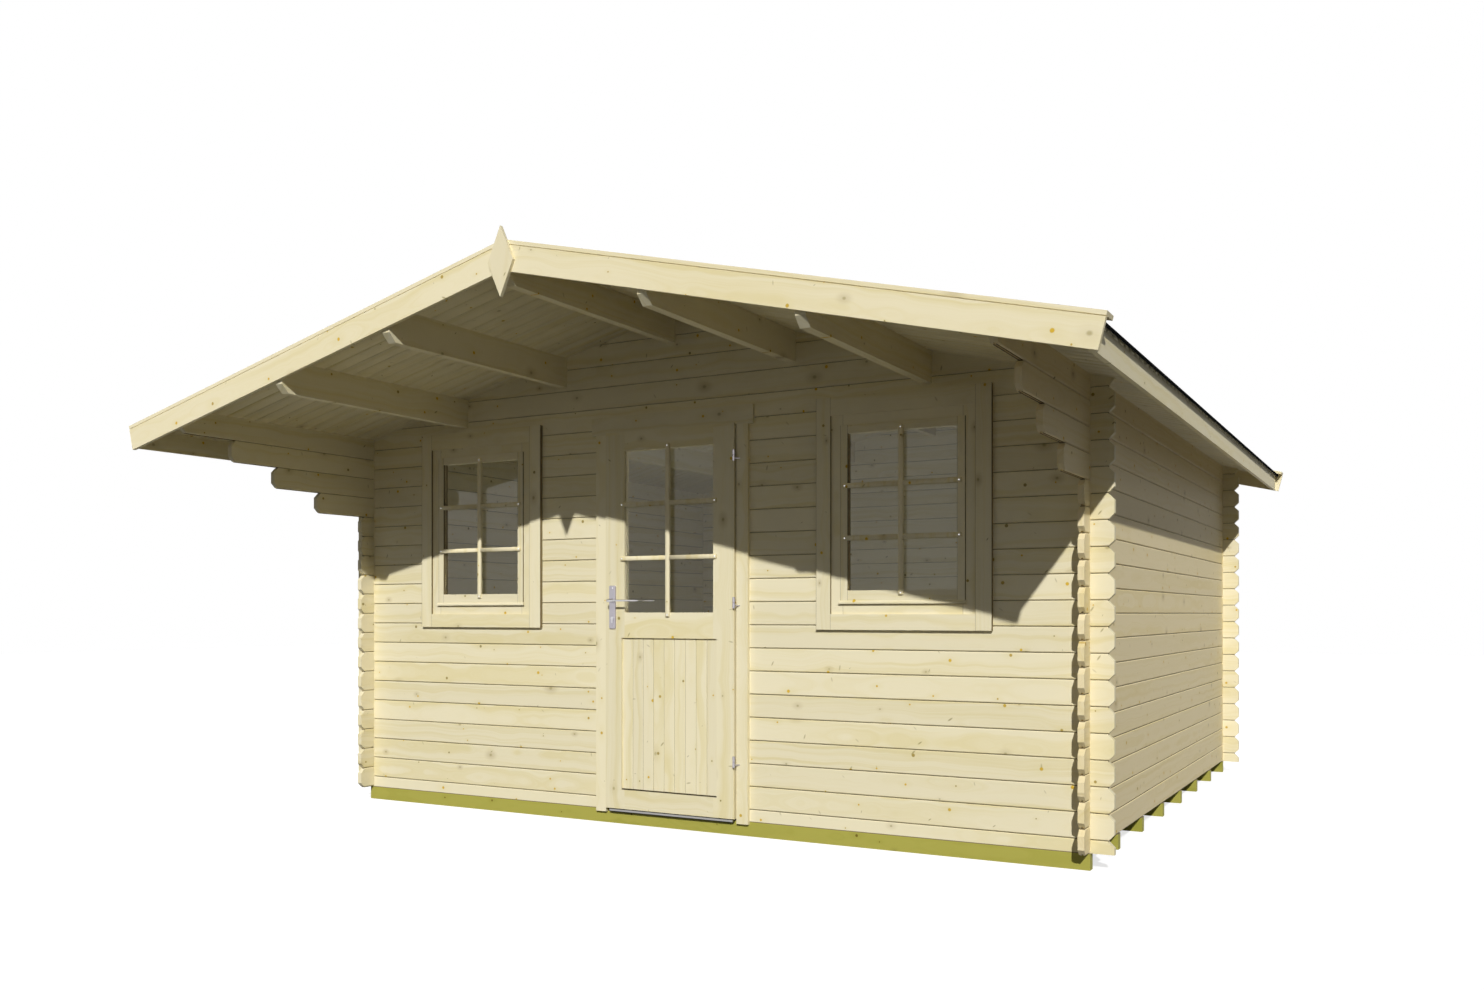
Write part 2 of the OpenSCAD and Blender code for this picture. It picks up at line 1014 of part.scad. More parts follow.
// Jambs with a stop behind the leaf
module door_frame_jambs() {
    color(timber)
        difference() {
            both_sides()
                board(
                    [door_half - jamb_t - jamb_lap - leaf_gap, front_y, 0],
                    [door_half, jamb_back, opening_top - jamb_t]
                );
            board(
                [-door_casing_in, front_y - over, -over],
                [door_casing_in, leaf_back + leaf_gap, opening_top]
            );
            stud_holes(1);
        }
}

module door_frame_head() {
    color(timber) {
        board(
            [-door_half, front_y, opening_top - jamb_t],
            [door_half, jamb_back, opening_top]
        );
    }
}

// Threshold plate over the first beam, with a lip in front
module door_threshold() {
    half = door_half - jamb_t - jamb_lap - leaf_gap;
    color(metal)
        union() {
            board([-half, casing_front, 0], [half, jamb_back, threshold_t]);
            board([-half, casing_front, -threshold_lip], [half, front_y, threshold_t]);
        }
}

// A sheet in the leaf, with the edges that sit in the grooves
module leaf_sheet(half, thick, foot, head, extra) {
    board(
        [-half - groove_d - extra, leaf_mid - thick / 2 - extra, foot - groove_d - extra],
        [half + groove_d + extra, leaf_mid + thick / 2 + extra, head + groove_d + extra]
    );
}

module panel_sheet(extra = 0) {
    leaf_sheet(panel_half, panel_t, rail_bottom, mid_rail_z, extra);
}

module glass_sheet(extra = 0) {
    leaf_sheet(stile_in, glass_t, glass_bottom, glass_top, extra);
}

// Grooves for the glass and the panel
module leaf_grooves() {
    panel_sheet(play);
    glass_sheet(play);
}

// Outline of the lock cylinder: a round barrel on a narrow stem with a round foot
module lock_outline(extra = 0) {
    foot = lock_d / 2 - lock_h + lock_stem / 2;
    circle(d = lock_d + 2 * extra);
    translate([0, foot])
        circle(d = lock_stem + 2 * extra);
    translate([-lock_stem / 2 - extra, foot])
        square([lock_stem + 2 * extra, -foot]);
}

// Bores through leaf and plates for the lever's neck and the lock cylinder
module handle_bores() {
    reach = plate_t + over;
    translate([handle_x, leaf_back + reach, wall_z])
        rotate([90, 0, 0])
            linear_extrude(leaf_t + 2 * reach) {
                translate([0, lever_z])
                    circle(d = neck_d + 2 * neck_play);
                translate([0, lock_z])
                    lock_outline(neck_play);
            }
}

// The stiles are narrower beside the panel
module door_stiles() {
    color(timber)
        difference() {
            both_sides()
                board([stile_in, leaf_front, leaf_bottom], [leaf_half, leaf_back, leaf_top]);
            board(
                [-panel_half, leaf_front - over, rail_bottom],
                [panel_half, leaf_back + over, mid_rail_z]
            );
            leaf_grooves();
            handle_bores();
            stud_holes(-1);
        }
}

// Three rails; the top one carries a lip in front of the head casing
module door_rails() {
    rails = [[leaf_bottom, rail_bottom], [mid_rail_z, glass_bottom], [glass_top, leaf_top]];
    color(timber)
        difference() {
            union() {
                for (rail = rails)
                    board([-stile_in, leaf_front, rail[0]], [stile_in, leaf_back, rail[1]]);
                board([-leaf_half, leaf_front, leaf_top], [leaf_half, lip_back, leaf_top + lip_h]);
            }
            leaf_grooves();
        }
}

// Upright boards with a vee between them on both faces
module door_panel() {
    board_w = 2 * panel_half / panel_boards;
    color(timber)
        difference() {
            panel_sheet();
            for (i = [1 : panel_boards - 1], face = [-1, 1])
                translate([i * board_w - panel_half, leaf_mid + face * panel_t / 2, rail_bottom + wall_z])
                    rotate([0, 0, 45])
                        translate([-panel_vee, -panel_vee, 0] / sqrt(2))
                            cube([panel_vee * sqrt(2), panel_vee * sqrt(2), mid_rail_z - rail_bottom]);
        }
}

module door_glass() {
    color(pane)
        glass_sheet();
}

// A long plate on each face of the leaf, bored for the lever's neck and the lock cylinder
module door_handle_plates() {
    color(metal)
        difference() {
            for (y = [leaf_front - plate_t, leaf_back])
                board(
                    [handle_x - plate_w / 2, y, plate_z],
                    [handle_x + plate_w / 2, y + plate_t, plate_z + plate_h]
                );
            handle_bores();
        }
}

// Lock cylinder through both plates
module door_lock_cylinder() {
    reach = plate_t + lock_proud;
    color(metal)
        translate([handle_x, leaf_back + reach, lock_z + wall_z])
            rotate([90, 0, 0])
                linear_extrude(leaf_t + 2 * reach)
                    lock_outline();
}

// One blade of the lever: a slim bar with a round end, from the axis towards the hinges
module lever_blade() {
    tip_x = lever_l - lever_t / 2;
    circle(d = neck_d);
    translate([tip_x, 0])
        circle(d = lever_t);
    translate([0, -lever_t / 2])
        square([tip_x, lever_t]);
}

// Outer and inner lever on one spindle
module door_lever() {
    outer_y = leaf_front - lever_off;
    inner_y = leaf_back + lever_off;
    color(metal)
        translate([handle_x, 0, lever_z + wall_z])
            rotate([90, 0, 0]) {
                translate([0, 0, -inner_y])
                    cylinder(d = neck_d, h = inner_y - outer_y);
                for (y = [outer_y, inner_y + lever_t])
                    translate([0, 0, -y])
                        linear_extrude(lever_t)
                            lever_blade();
            }
}

foundation_beams();
floor();
front_wall_odd_logs();
front_wall_even_logs();
back_wall_odd_logs();
back_wall_even_logs();
left_wall_odd_logs();
left_wall_even_logs();
right_wall_odd_logs();
right_wall_even_logs();
ridge_purlin();
left_purlins();
right_purlins();
left_roof_boards();
right_roof_boards();
left_roof_felt();
right_roof_felt();
left_bargeboards();
right_bargeboards();
left_verge_covers();
right_verge_covers();
left_eave_fascia();
right_eave_fascia();
gable_finials();
window_casing_sides();
window_casing_heads_and_sills();
window_frame_sides();
window_frame_heads_and_sills();
window_sash_stiles();
window_sash_rails();
window_panes();
door_casing_sides();
door_casing_head();
door_frame_jambs();
door_frame_head();
door_threshold();
frame_hinge_knuckles();
door_stiles();
door_rails();
door_panel();
door_glass();
door_hinge_knuckles();
door_handle_plates();
door_lock_cylinder();
door_lever();
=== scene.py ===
# %% [markdown]
# # A garden log cabin
# This lesson dresses a log cabin whose timbers are already cut: the frame holds every log, board and hinge at
# its real size. Blender adds what a saw doesn't: the roof and floor boards one by one, the felt, the glazing
# bars, the door furniture, and the look of fresh spruce. All lengths are metres, +Z is up and the door looks
# towards -Y.

# %% Load the frame
import math

import bmesh
import bpy
import numpy as np
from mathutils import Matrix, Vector


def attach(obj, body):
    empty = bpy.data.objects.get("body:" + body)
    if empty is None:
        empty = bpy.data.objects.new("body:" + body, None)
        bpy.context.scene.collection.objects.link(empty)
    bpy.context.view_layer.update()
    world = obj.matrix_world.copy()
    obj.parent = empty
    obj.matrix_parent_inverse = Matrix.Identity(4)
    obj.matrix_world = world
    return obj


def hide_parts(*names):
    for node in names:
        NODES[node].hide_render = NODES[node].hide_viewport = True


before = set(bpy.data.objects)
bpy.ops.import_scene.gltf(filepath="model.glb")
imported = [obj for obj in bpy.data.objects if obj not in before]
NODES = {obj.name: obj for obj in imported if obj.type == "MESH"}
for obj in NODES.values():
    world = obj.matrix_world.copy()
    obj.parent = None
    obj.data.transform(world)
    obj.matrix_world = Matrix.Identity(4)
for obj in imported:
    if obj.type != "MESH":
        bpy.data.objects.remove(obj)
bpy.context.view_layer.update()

# %% [markdown]
# ## Reading sizes from the frame
# Every place below comes from the boxes of the cut timbers, so an added piece sits on what carries it. The
# cabin is the same left and right, so often only the right half of a node is measured.


# %% Read the main sizes
def corners(node, right_half=False):
    """Lowest and highest corner of a node, or of its points with x above zero."""
    points = np.empty(len(NODES[node].data.vertices) * 3)
    NODES[node].data.vertices.foreach_get("co", points)
    points = points.reshape(-1, 3)
    if right_half:
        points = points[points[:, 0] > 0]
    return points.min(0), points.max(0)


beams_low, beams_high = corners("foundation_beams")
FRONT_Y, BACK_Y = beams_low[1], beams_high[1]
SIDE_X = beams_high[0]
LOGS_Z = beams_high[2]
LOG_H = 2 * (corners("front_wall_odd_logs")[0][2] - LOGS_Z)
LOG_T = SIDE_X - corners("right_wall_odd_logs")[0][0]
print(f"Logs of {LOG_H * 1000:.0f} by {LOG_T * 1000:.0f} mm stand on beams of {LOGS_Z * 1000:.0f} mm")

# %% [markdown]
# ## Places on the roof
# A roof slope is easiest to describe in its own directions: s runs down from the ridge, y from front to back
# and n square to the boards. A small function turns these into x, y and z, with side -1 on the left and 1 on
# the right.

# %% Read the roof
ROOF_ANGLE = math.radians(13.5)
BOARD_T = 0.016
FELT_T = 0.003

boards_low, boards_high = corners("right_roof_boards")
ROOF_FRONT, ROOF_BACK = boards_low[1], boards_high[1]
RIDGE_Z = boards_high[2] - BOARD_T / math.cos(ROOF_ANGLE)
SLOPE_L = (boards_high[0] - BOARD_T * math.sin(ROOF_ANGLE)) / math.cos(ROOF_ANGLE)


def slope_axes(side):
    """Unit vectors down the slope, along the ridge and square to the slope."""
    down = np.array([side * math.cos(ROOF_ANGLE), 0.0, -math.sin(ROOF_ANGLE)])
    up = np.array([side * math.sin(ROOF_ANGLE), 0.0, math.cos(ROOF_ANGLE)])
    return down, np.array([0.0, 1.0, 0.0]), up


def on_slope(side, s, y, n):
    """Ridge point, plus s down the slope, plus y along the ridge, plus n square to the slope."""
    s, y, n = np.broadcast_arrays(s, y, n)
    down, along, up = slope_axes(side)
    place = s[..., None] * down + y[..., None] * along + n[..., None] * up
    return place + np.array([0.0, 0.0, RIDGE_Z])


print(f"Each slope is {SLOPE_L:.3f} m long, and the roof {ROOF_BACK - ROOF_FRONT:.3f} m from front to back")

# %% [markdown]
# ## From arrays to meshes
# A surface is worked out as one array of points and a few arrays of corner numbers, and only then handed to
# Blender. That is much quicker than adding points one at a time, and the formula stays readable. Two makers
# do most of the work: one carries a profile along straight lines, the other turns a profile round an axis.


# %% Put arrays into a mesh
def make_piece(name, points, polygons, finish, body, slot, smooth=None):
    """Builds a mesh from points and corner arrays, turns its faces outwards and lets it ride on a body."""
    mesh = bpy.data.meshes.new(name)
    faces = [face for corner in polygons for face in corner.tolist()]
    mesh.from_pydata(points.reshape(-1, 3).tolist(), [], faces, shade_flat=False)
    mesh.validate()
    shape = bmesh.new()
    shape.from_mesh(mesh)
    bmesh.ops.remove_doubles(shape, verts=shape.verts, dist=1e-6)
    bmesh.ops.recalc_face_normals(shape, faces=shape.faces)
    shape.to_mesh(mesh)
    shape.free()
    if smooth is not None:
        mesh.shade_smooth()
        mesh.set_sharp_from_angle(angle=math.radians(smooth))
    mesh.materials.append(finish)
    piece = bpy.data.objects.new(name, mesh)
    bpy.context.scene.collection.objects.link(piece)
    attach(piece, body)
    print(f"{name}: {len(mesh.vertices)} points, {len(mesh.polygons)} faces")
    return piece


def ring_faces(copies, rings, size):
    """Corner numbers of the quads between the rings of each copy, and of the two caps of each copy."""
    here = np.arange(copies * rings * size).reshape(copies, rings, size)
    beside = np.roll(here, -1, axis=2)
    quads = np.stack([here[:, :-1], beside[:, :-1], beside[:, 1:], here[:, 1:]], -1).reshape(-1, 4)
    return [quads, np.concatenate([here[:, 0, ::-1], here[:, -1]])]


def carried(rings, starts, ends, side, up):
    """Carries a profile along straight lines from starts to ends.

    A ring is (share, extra, lean, profile). Its points are start + share (end - start), moved on by extra
    plus lean times the profile's height, plus the profile's width along side and its height along up.
    """
    starts, ends = np.atleast_2d(starts), np.atleast_2d(ends)
    way = ends - starts
    ahead = way / np.linalg.norm(way, axis=1, keepdims=True)
    layers = []
    for share, extra, lean, profile in rings:
        shift = (extra + lean * profile[:, 1])[None, :, None] * ahead[:, None, :]
        offset = profile[:, :1] * np.asarray(side) + profile[:, 1:] * np.asarray(up)
        layers.append((starts + share * way)[:, None, :] + shift + offset[None])
    points = np.stack(layers, 1)
    return points, ring_faces(len(starts), len(rings), len(rings[0][3]))


def plain_run(profile, starts, ends, side, up):
    """Carries one profile unchanged from starts to ends."""
    return carried([(0.0, 0.0, 0.0, profile), (1.0, 0.0, 0.0, profile)], starts, ends, side, up)


def turned(profile, steps, centres, axis, across):
    """Turns (radius, height) points round an axis: centre + radius (cos u e1 + sin u e2) + height axis."""
    axis, first = np.asarray(axis, float), np.asarray(across, float)
    second = np.cross(axis, first)
    angle = np.linspace(0, 2 * np.pi, steps, endpoint=False)
    circle = np.cos(angle)[:, None] * first + np.sin(angle)[:, None] * second
    radius, height = np.asarray(profile, float).T
    ring = radius[:, None, None] * circle[None] + height[:, None, None] * axis
    points = np.atleast_2d(centres)[:, None, None, :] + ring[None]
    return points, ring_faces(len(np.atleast_2d(centres)), len(radius), steps)


def joined(*parts):
    """Joins several (points, polygons) parts into one, with their corner numbers moved on."""
    points, polygons, count = [], [], 0
    for part_points, part_polygons in parts:
        points.append(part_points.reshape(-1, 3))
        polygons.extend(corner + count for corner in part_polygons)
        count += part_points.size // 3
    return np.concatenate(points), polygons


def eased_rectangle(width, height, ease, inset=0.0):
    """Rectangle with cut corners, centred in width and standing on height zero, drawn in by an inset."""
    half, top, e = width / 2 - inset, height - inset, ease
    return np.array([
        [-half + e, inset], [half - e, inset], [half, inset + e], [half, top - e],
        [half - e, top], [-half + e, top], [-half, top - e], [-half, inset + e],
    ])


print("The mesh makers are ready")

# %% [markdown]
# ## A short way to write shader nodes
# A procedural finish is a small graph of nodes. In full, it takes a line for each node and for each link, so
# this helper adds a node with its inputs in one call. An input is a plain value or another node's output.


# %% Shader helper
class Finish:
    """One material, or the world, and its node graph."""

    def __init__(self, name, kind="materials", shader="Principled BSDF"):
        self.block = getattr(bpy.data, kind).new(name)
        self.block.use_nodes = True
        self.tree = self.block.node_tree
        self.shader = self.tree.nodes[shader]

    def node(self, kind, inputs=None, **settings):
        """Adds a node, sets its options and fills its inputs."""
        made = self.tree.nodes.new("ShaderNode" + kind)
        for option, value in settings.items():
            setattr(made, option, value)
        for socket, value in (inputs or {}).items():
            self.fill(made.inputs[socket], value)
        return made

    def fill(self, socket, value):
        """Links an output to a socket, or writes a plain value into it."""
        if isinstance(value, bpy.types.NodeSocket):
            self.tree.links.new(value, socket)
        else:
            socket.default_value = value

    def math(self, operation, *values):
        """One step of arithmetic on numbers."""
        return self.node("Math", dict(enumerate(values)), operation=operation).outputs[0]

    def vector(self, operation, *values):
        """One step of arithmetic on vectors."""
        made = self.node("VectorMath", dict(enumerate(values)), operation=operation)
        return made.outputs["Value" if operation == "LENGTH" else "Vector"]

    def split(self, value):
        """The three parts of a vector or colour."""
        return self.node("SeparateXYZ", {0: value}).outputs

    def combine(self, x, y, z):
        """A vector from three parts."""
        return self.node("CombineXYZ", {0: x, 1: y, 2: z}).outputs[0]

    def fade(self, value, start, end, low=0.0, high=1.0):
        """Goes smoothly from low to high as the value goes from start to end."""
        inputs = {"Value": value, "From Min": start, "From Max": end, "To Min": low, "To Max": high}
        return self.node("MapRange", inputs, interpolation_type="SMOOTHSTEP").outputs[0]

    def noise(self, place, scale=1.0, detail=2.0, rough=0.5):
        """Cloudy noise from 0 to 1."""
        inputs = {"Vector": place, "Scale": scale, "Detail": detail, "Roughness": rough}
        return self.node("TexNoise", inputs).outputs[0]

    def mix(self, factor, first, second):
        """Blends two colours."""
        made = self.node("Mix", {0: factor, 6: first, 7: second}, data_type="RGBA")
        return made.outputs[2]

    def bump(self, height, distance, strength=1.0):
        """Normals of a surface with this height, in units of the distance."""
        inputs = {"Height": height, "Distance": distance, "Strength": strength}
        return self.node("Bump", inputs).outputs[0]

    def set(self, **values):
        """Fills the main shader's inputs; an underscore in a name stands for a space."""
        for name, value in values.items():
            self.fill(self.shader.inputs[name.replace("_", " ")], value)
        return self.block


def colour(red, green, blue):
    """A shader colour from linear values."""
    return (red, green, blue, 1.0)


print("The shader helper is ready")

# %% [markdown]
# ## Fresh spruce
# Planed spruce is cream, with faint yellow bands along the grain, small orange pin knots, slim slanted flecks
# where a knot was cut along, and soft grey-beige clouds round bigger knots. Painting that as an image would
# repeat, so the wood is worked out in space instead. Each board gets its own number from its place, and with
# it its own piece of tree: the yearly rings are circles round a pith that lies somewhere beside the board, so
# faces show long bands and ends show arcs. Knots are scattered points on the wide face, measured in metres so
# that they stay round.

# %% Spruce tones
FRESH = {
    "pale": colour(0.810, 0.735, 0.510),
    "band": colour(0.735, 0.640, 0.345),
    "cloud": colour(0.500, 0.410, 0.215),
    "pin": colour(0.640, 0.410, 0.022),
    "fleck": colour(0.300, 0.240, 0.080),
    "bands": 0.85,
}
GREEN_TREATED = {
    "pale": colour(0.410, 0.380, 0.078),
    "band": colour(0.330, 0.315, 0.050),
    "cloud": colour(0.200, 0.180, 0.040),
    "pin": colour(0.160, 0.110, 0.015),
    "fleck": colour(0.180, 0.150, 0.020),
    "bands": 0.9,
}
# Marks in the wood: the room for one along and across the grain, its radius from and to, its share of rooms
CLOUD_ROOM, CLOUD_R, CLOUD_SHARE = (0.60, 0.150), (0.010, 0.024), 0.50
FLECK_ROOM, FLECK_R, FLECK_SHARE = (0.31, 0.105), (0.004, 0.012), 0.55
KNOT_ROOM, KNOT_R, KNOT_SHARE = (0.31, 0.098), (0.0030, 0.0080), 0.62
RINGS_PER_M = 48.0
RING_STRETCH = 0.40
PITH_ASIDE = 0.08
FAR = 100.0
AXES = "xyz"


def shaded(tones, *parts):
    """The same wood with the red, green and blue of each tone multiplied by a part."""
    return {
        mark: tone if mark == "bands" else colour(*np.multiply(tone[:3], parts))
        for mark, tone in tones.items()
    }


# Painted warm light: the right wall's logs are warmer and yellower, for the bounce light that wall gets
RIGHT_LOGS_PAINTED_WARM_LIGHT = shaded(FRESH, 1.03, 0.970, 0.870)
TRIM_WOOD = shaded(FRESH, 1.05, 1.04, 1.02)
PEAK_WOOD = shaded(FRESH, 0.955, 0.945, 0.930)
# Painted shade: the colour of the grooves of joints and the edges of boards
JOINT_PAINTED_SHADE = colour(0.230, 0.182, 0.095)
print("Fresh spruce is", FRESH["pale"][:3], "and its pin knots", FRESH["pin"][:3])


# %% Spruce in space
def scatter(finish, length, width, cell, luck):
    """Vector in metres from the nearest of many scattered points, and that point's own random colour."""
    flat = finish.combine(
        finish.math("DIVIDE", length, cell[0]),
        finish.math("MULTIPLY_ADD", luck, FAR, finish.math("DIVIDE", width, cell[1])),
        0.0,
    )
    cells = finish.node("TexVoronoi", {"Vector": flat, "Scale": 1.0}, voronoi_dimensions="2D")
    away = finish.vector("SUBTRACT", flat, cells.outputs["Position"])
    return finish.vector("MULTIPLY", away, (*cell, 0.0)), finish.split(cells.outputs["Color"])


def spot(finish, away, shape, radius, soft, share, chance):
    """A round or long mark: 1 near the point, 0 past its radius, and only for a share of the points."""
    size = finish.vector("LENGTH", finish.vector("MULTIPLY", away, shape))
    edge = finish.math("DIVIDE", size, radius)
    there = finish.math("LESS_THAN", chance, share)
    return finish.math("MULTIPLY", finish.fade(edge, 1.0 + soft, 1.0 - soft), there)


def spruce(name, along, across, centre, seed, turn=0.0, twin=False, tones=FRESH, joint_shade=None, **steps):
    """Spruce boards whose grain runs along one axis and whose wide face lies across another.

    The first board's middle is the centre, and the next ones follow in steps along x, y or z. A board's
    number is its rounded count of steps, and it picks the board's tone, pith and knots. Twin boards are both
    measured from x zero outwards, and the side is part of the number. Turn leans the axes with a roof slope.
    The shade band is half a width and half a thickness: wood past the first and inside the second is painted
    dark, as painted shade in the grooves of joints and along board edges.
    """
    f = Finish(name)
    place = f.node("TexCoord").outputs["Object"]
    hand = 0.0
    if twin:
        x, y, z = f.split(place)
        hand = f.math("SIGN", x)
        place = f.combine(f.math("ABSOLUTE", x), y, z)
    if turn:
        place = f.node("Mapping", {"Vector": place, "Rotation": (0.0, turn, 0.0)}).outputs[0]
    pitch = [steps.get(axis, FAR) for axis in AXES]
    out = f.vector("SUBTRACT", place, tuple(centre))
    per_step = tuple(1.0 / step for step in pitch)
    number = f.vector("FLOOR", f.vector("MULTIPLY_ADD", out, per_step, (0.5, 0.5, 0.5)))
    local = f.vector("MULTIPLY_ADD", number, tuple(-step for step in pitch), out)
    seeds = f.combine(f.math("MULTIPLY_ADD", hand, 0.29, seed), seed * 0.37, seed * 0.71)
    luck = f.split(f.node("TexWhiteNoise", {"Vector": f.vector("ADD", number, seeds)}).outputs["Color"])
    parts = dict(zip(AXES, f.split(local)))
    depth = next(axis for axis in AXES if axis not in (along, across))
    length = f.math("MULTIPLY_ADD", luck[0], FAR, parts[along])
    width = parts[across]

    # Knots push the rings aside
    cloud_away, cloud_luck = scatter(f, length, width, CLOUD_ROOM, luck[1])
    cloud_size = f.fade(cloud_luck[0], 0.0, 1.0, *CLOUD_R)
    core_size = f.math("MULTIPLY", cloud_size, 0.32)
    cloud = spot(f, cloud_away, (0.65, 1.0, 0.0), cloud_size, 0.9, CLOUD_SHARE, cloud_luck[1])
    core = spot(f, cloud_away, (0.8, 1.0, 0.0), core_size, 0.6, CLOUD_SHARE, cloud_luck[1])
    pushed = f.math("MULTIPLY_ADD", f.math("MULTIPLY", f.split(cloud_away)[1], cloud), -0.6, width)

    # Rings round a pith beside the board, which wanders along its length
    wander = f.node("TexNoise", {"Vector": f.combine(f.math("MULTIPLY", length, 0.7), luck[1], luck[2])})
    sway = f.vector("MULTIPLY_ADD", wander.outputs["Color"], (0.05, 0.05, 0.0), (-0.025, -0.025, 0.0))
    drift = f.split(sway)
    pith_width = f.math("MULTIPLY_ADD", luck[1], 2 * PITH_ASIDE, f.math("ADD", drift[0], -PITH_ASIDE))
    pith_depth = f.math("MULTIPLY_ADD", luck[2], 0.07, f.math("ADD", drift[1], 0.025))
    radius = f.vector("LENGTH", f.combine(
        f.math("SUBTRACT", pushed, pith_width), f.math("SUBTRACT", parts[depth], pith_depth), 0.0))
    ring_x = f.math("MULTIPLY", radius, RINGS_PER_M)
    ring_y = f.math("MULTIPLY", length, RING_STRETCH)
    rings = f.noise(f.combine(ring_x, ring_y, luck[0]), 1.0, 6.0, 0.62)
    bands = f.fade(rings, 0.42, 0.70)

    # Flecks and pin knots
    fleck_away, fleck_luck = scatter(f, length, width, FLECK_ROOM, luck[2])
    lean = f.fade(fleck_luck[2], 0.0, 1.0, -1.0, 1.0)
    slanted = f.node("VectorRotate", {"Vector": fleck_away, "Angle": lean}, rotation_type="Z_AXIS").outputs[0]
    fleck_size = f.fade(fleck_luck[0], 0.0, 1.0, *FLECK_R)
    fleck = spot(f, slanted, (3.4, 1.0, 0.0), fleck_size, 0.55, FLECK_SHARE, fleck_luck[1])
    pin_away, pin_luck = scatter(f, length, width, KNOT_ROOM, luck[0])
    pin_size = f.fade(pin_luck[0], 0.0, 1.0, *KNOT_R)
    halo_size = f.math("MULTIPLY", pin_size, 2.4)
    pin = spot(f, pin_away, (1.0, 1.0, 0.0), pin_size, 0.25, KNOT_SHARE, pin_luck[1])
    halo = spot(f, pin_away, (0.45, 1.0, 0.0), halo_size, 0.9, KNOT_SHARE, pin_luck[1])

    # Colours from the ground up
    wood = f.mix(f.math("MULTIPLY", bands, tones["bands"]), tones["pale"], tones["band"])
    wood = f.mix(f.math("MULTIPLY", cloud, f.fade(cloud_luck[2], 0.0, 1.0, 0.10, 0.55)), wood, tones["cloud"])
    wood = f.mix(f.math("MULTIPLY", core, 0.55), wood, tones["fleck"])
    wood = f.mix(f.math("MULTIPLY", halo, 0.35), wood, tones["band"])
    wood = f.mix(f.math("MULTIPLY", fleck, f.fade(fleck_luck[2], 0.0, 1.0, 0.25, 0.75)), wood, tones["fleck"])
    knot = f.mix(f.fade(pin_luck[2], 0.35, 1.0), tones["pin"], tones["fleck"])
    wood = f.mix(f.math("MULTIPLY", pin, 0.95), wood, knot)
    tone = f.fade(luck[2], 0.0, 1.0, 0.965, 1.030)
    wood = f.node("VectorMath", {0: wood, "Scale": tone}, operation="SCALE").outputs[0]
    # Painted shade: wood in the grooves of joints and along board edges is darkened where shade falls
    if joint_shade:
        beyond = f.math("GREATER_THAN", f.math("ABSOLUTE", width), joint_shade[0])
        inside = f.math("LESS_THAN", f.math("ABSOLUTE", parts[depth]), joint_shade[1])
        wood = f.mix(f.math("MULTIPLY", beyond, inside), wood, JOINT_PAINTED_SHADE)
    height = f.math("MULTIPLY_ADD", rings, 0.5, f.math("MULTIPLY", pin, 0.6))
    return f.set(
        Base_Color=wood,
        Roughness=f.fade(rings, 0.3, 0.7, 0.62, 0.52),
        Specular_IOR_Level=0.12,
        Normal=f.bump(height, 0.0006, 0.5),
    )


print("Spruce is a function of place")

# %% [markdown]
# ## Spruce for each timber
# Grain follows the length of a timber: along X in the front and back logs, along Y in the side logs and
# purlins, down the slope in the bargeboards, upright in casing sides and door stiles. Where a node holds
# several boards, the first one's centre and the step to the next come from the node's box and the boards'
# widths.

# %% Places of the boards
WINDOW_LOW, WINDOW_HIGH = corners("window_sash_stiles", right_half=True)
WINDOW_X = (WINDOW_LOW[0] + WINDOW_HIGH[0]) / 2
WALL_SPAN = BACK_Y - FRONT_Y - LOG_T
SASH_SIDE, SASH_TOP, SASH_BOTTOM = 0.038, 0.039, 0.063
SLOPE_Z = RIDGE_Z * math.cos(ROOF_ANGLE)


def dress(finish, *nodes):
    """Gives the nodes one finish."""
    for node in nodes:
        mesh = NODES[node].data
        mesh.materials.clear()
        mesh.materials.append(finish)


def middle(node, right_half=False):
    """Middle of a node's box."""
    low, high = corners(node, right_half)
    return (low + high) / 2


def first_of(node, axis, first, last=None, right_half=False):
    """Middle of a node's first board along an axis and the way to its last, from the widths of both."""
    low, high = corners(node, right_half)
    centre = (low + high) / 2
    centre[axis] = low[axis] + first / 2
    return centre, high[axis] - low[axis] - (first + (last or first)) / 2


def label(node):
    """Name of the finish of a node."""
    return "spruce " + node.replace("_", " ")


print(f"The windows' middles are {WINDOW_X:.3f} m from the cabin's middle")

# %% Finish the logs, purlins and beams
# Painted shade in the vees and open seams between the logs
VEE_H, VEE_D = 0.0027, 0.0034
LOG_JOINT_SHADE = (LOG_H / 2 - VEE_H, LOG_T / 2 - VEE_D)
THROUGH = 1.0
PURLIN_T = 0.044
BEAMS, BEAM_W, BEAM_TOP_SHADOW = 8, 0.045, 0.004
gable_log = (0.0, FRONT_Y + LOG_T / 2, LOGS_Z)
side_log = (SIDE_X - LOG_T / 2, 0.0, LOGS_Z + LOG_H / 2)
dress(
    spruce("spruce gable logs", "x", "z", gable_log, 1, joint_shade=LOG_JOINT_SHADE, y=WALL_SPAN, z=LOG_H),
    *(f"{wall}_wall_{row}_logs" for wall in ("front", "back") for row in ("odd", "even")),
)
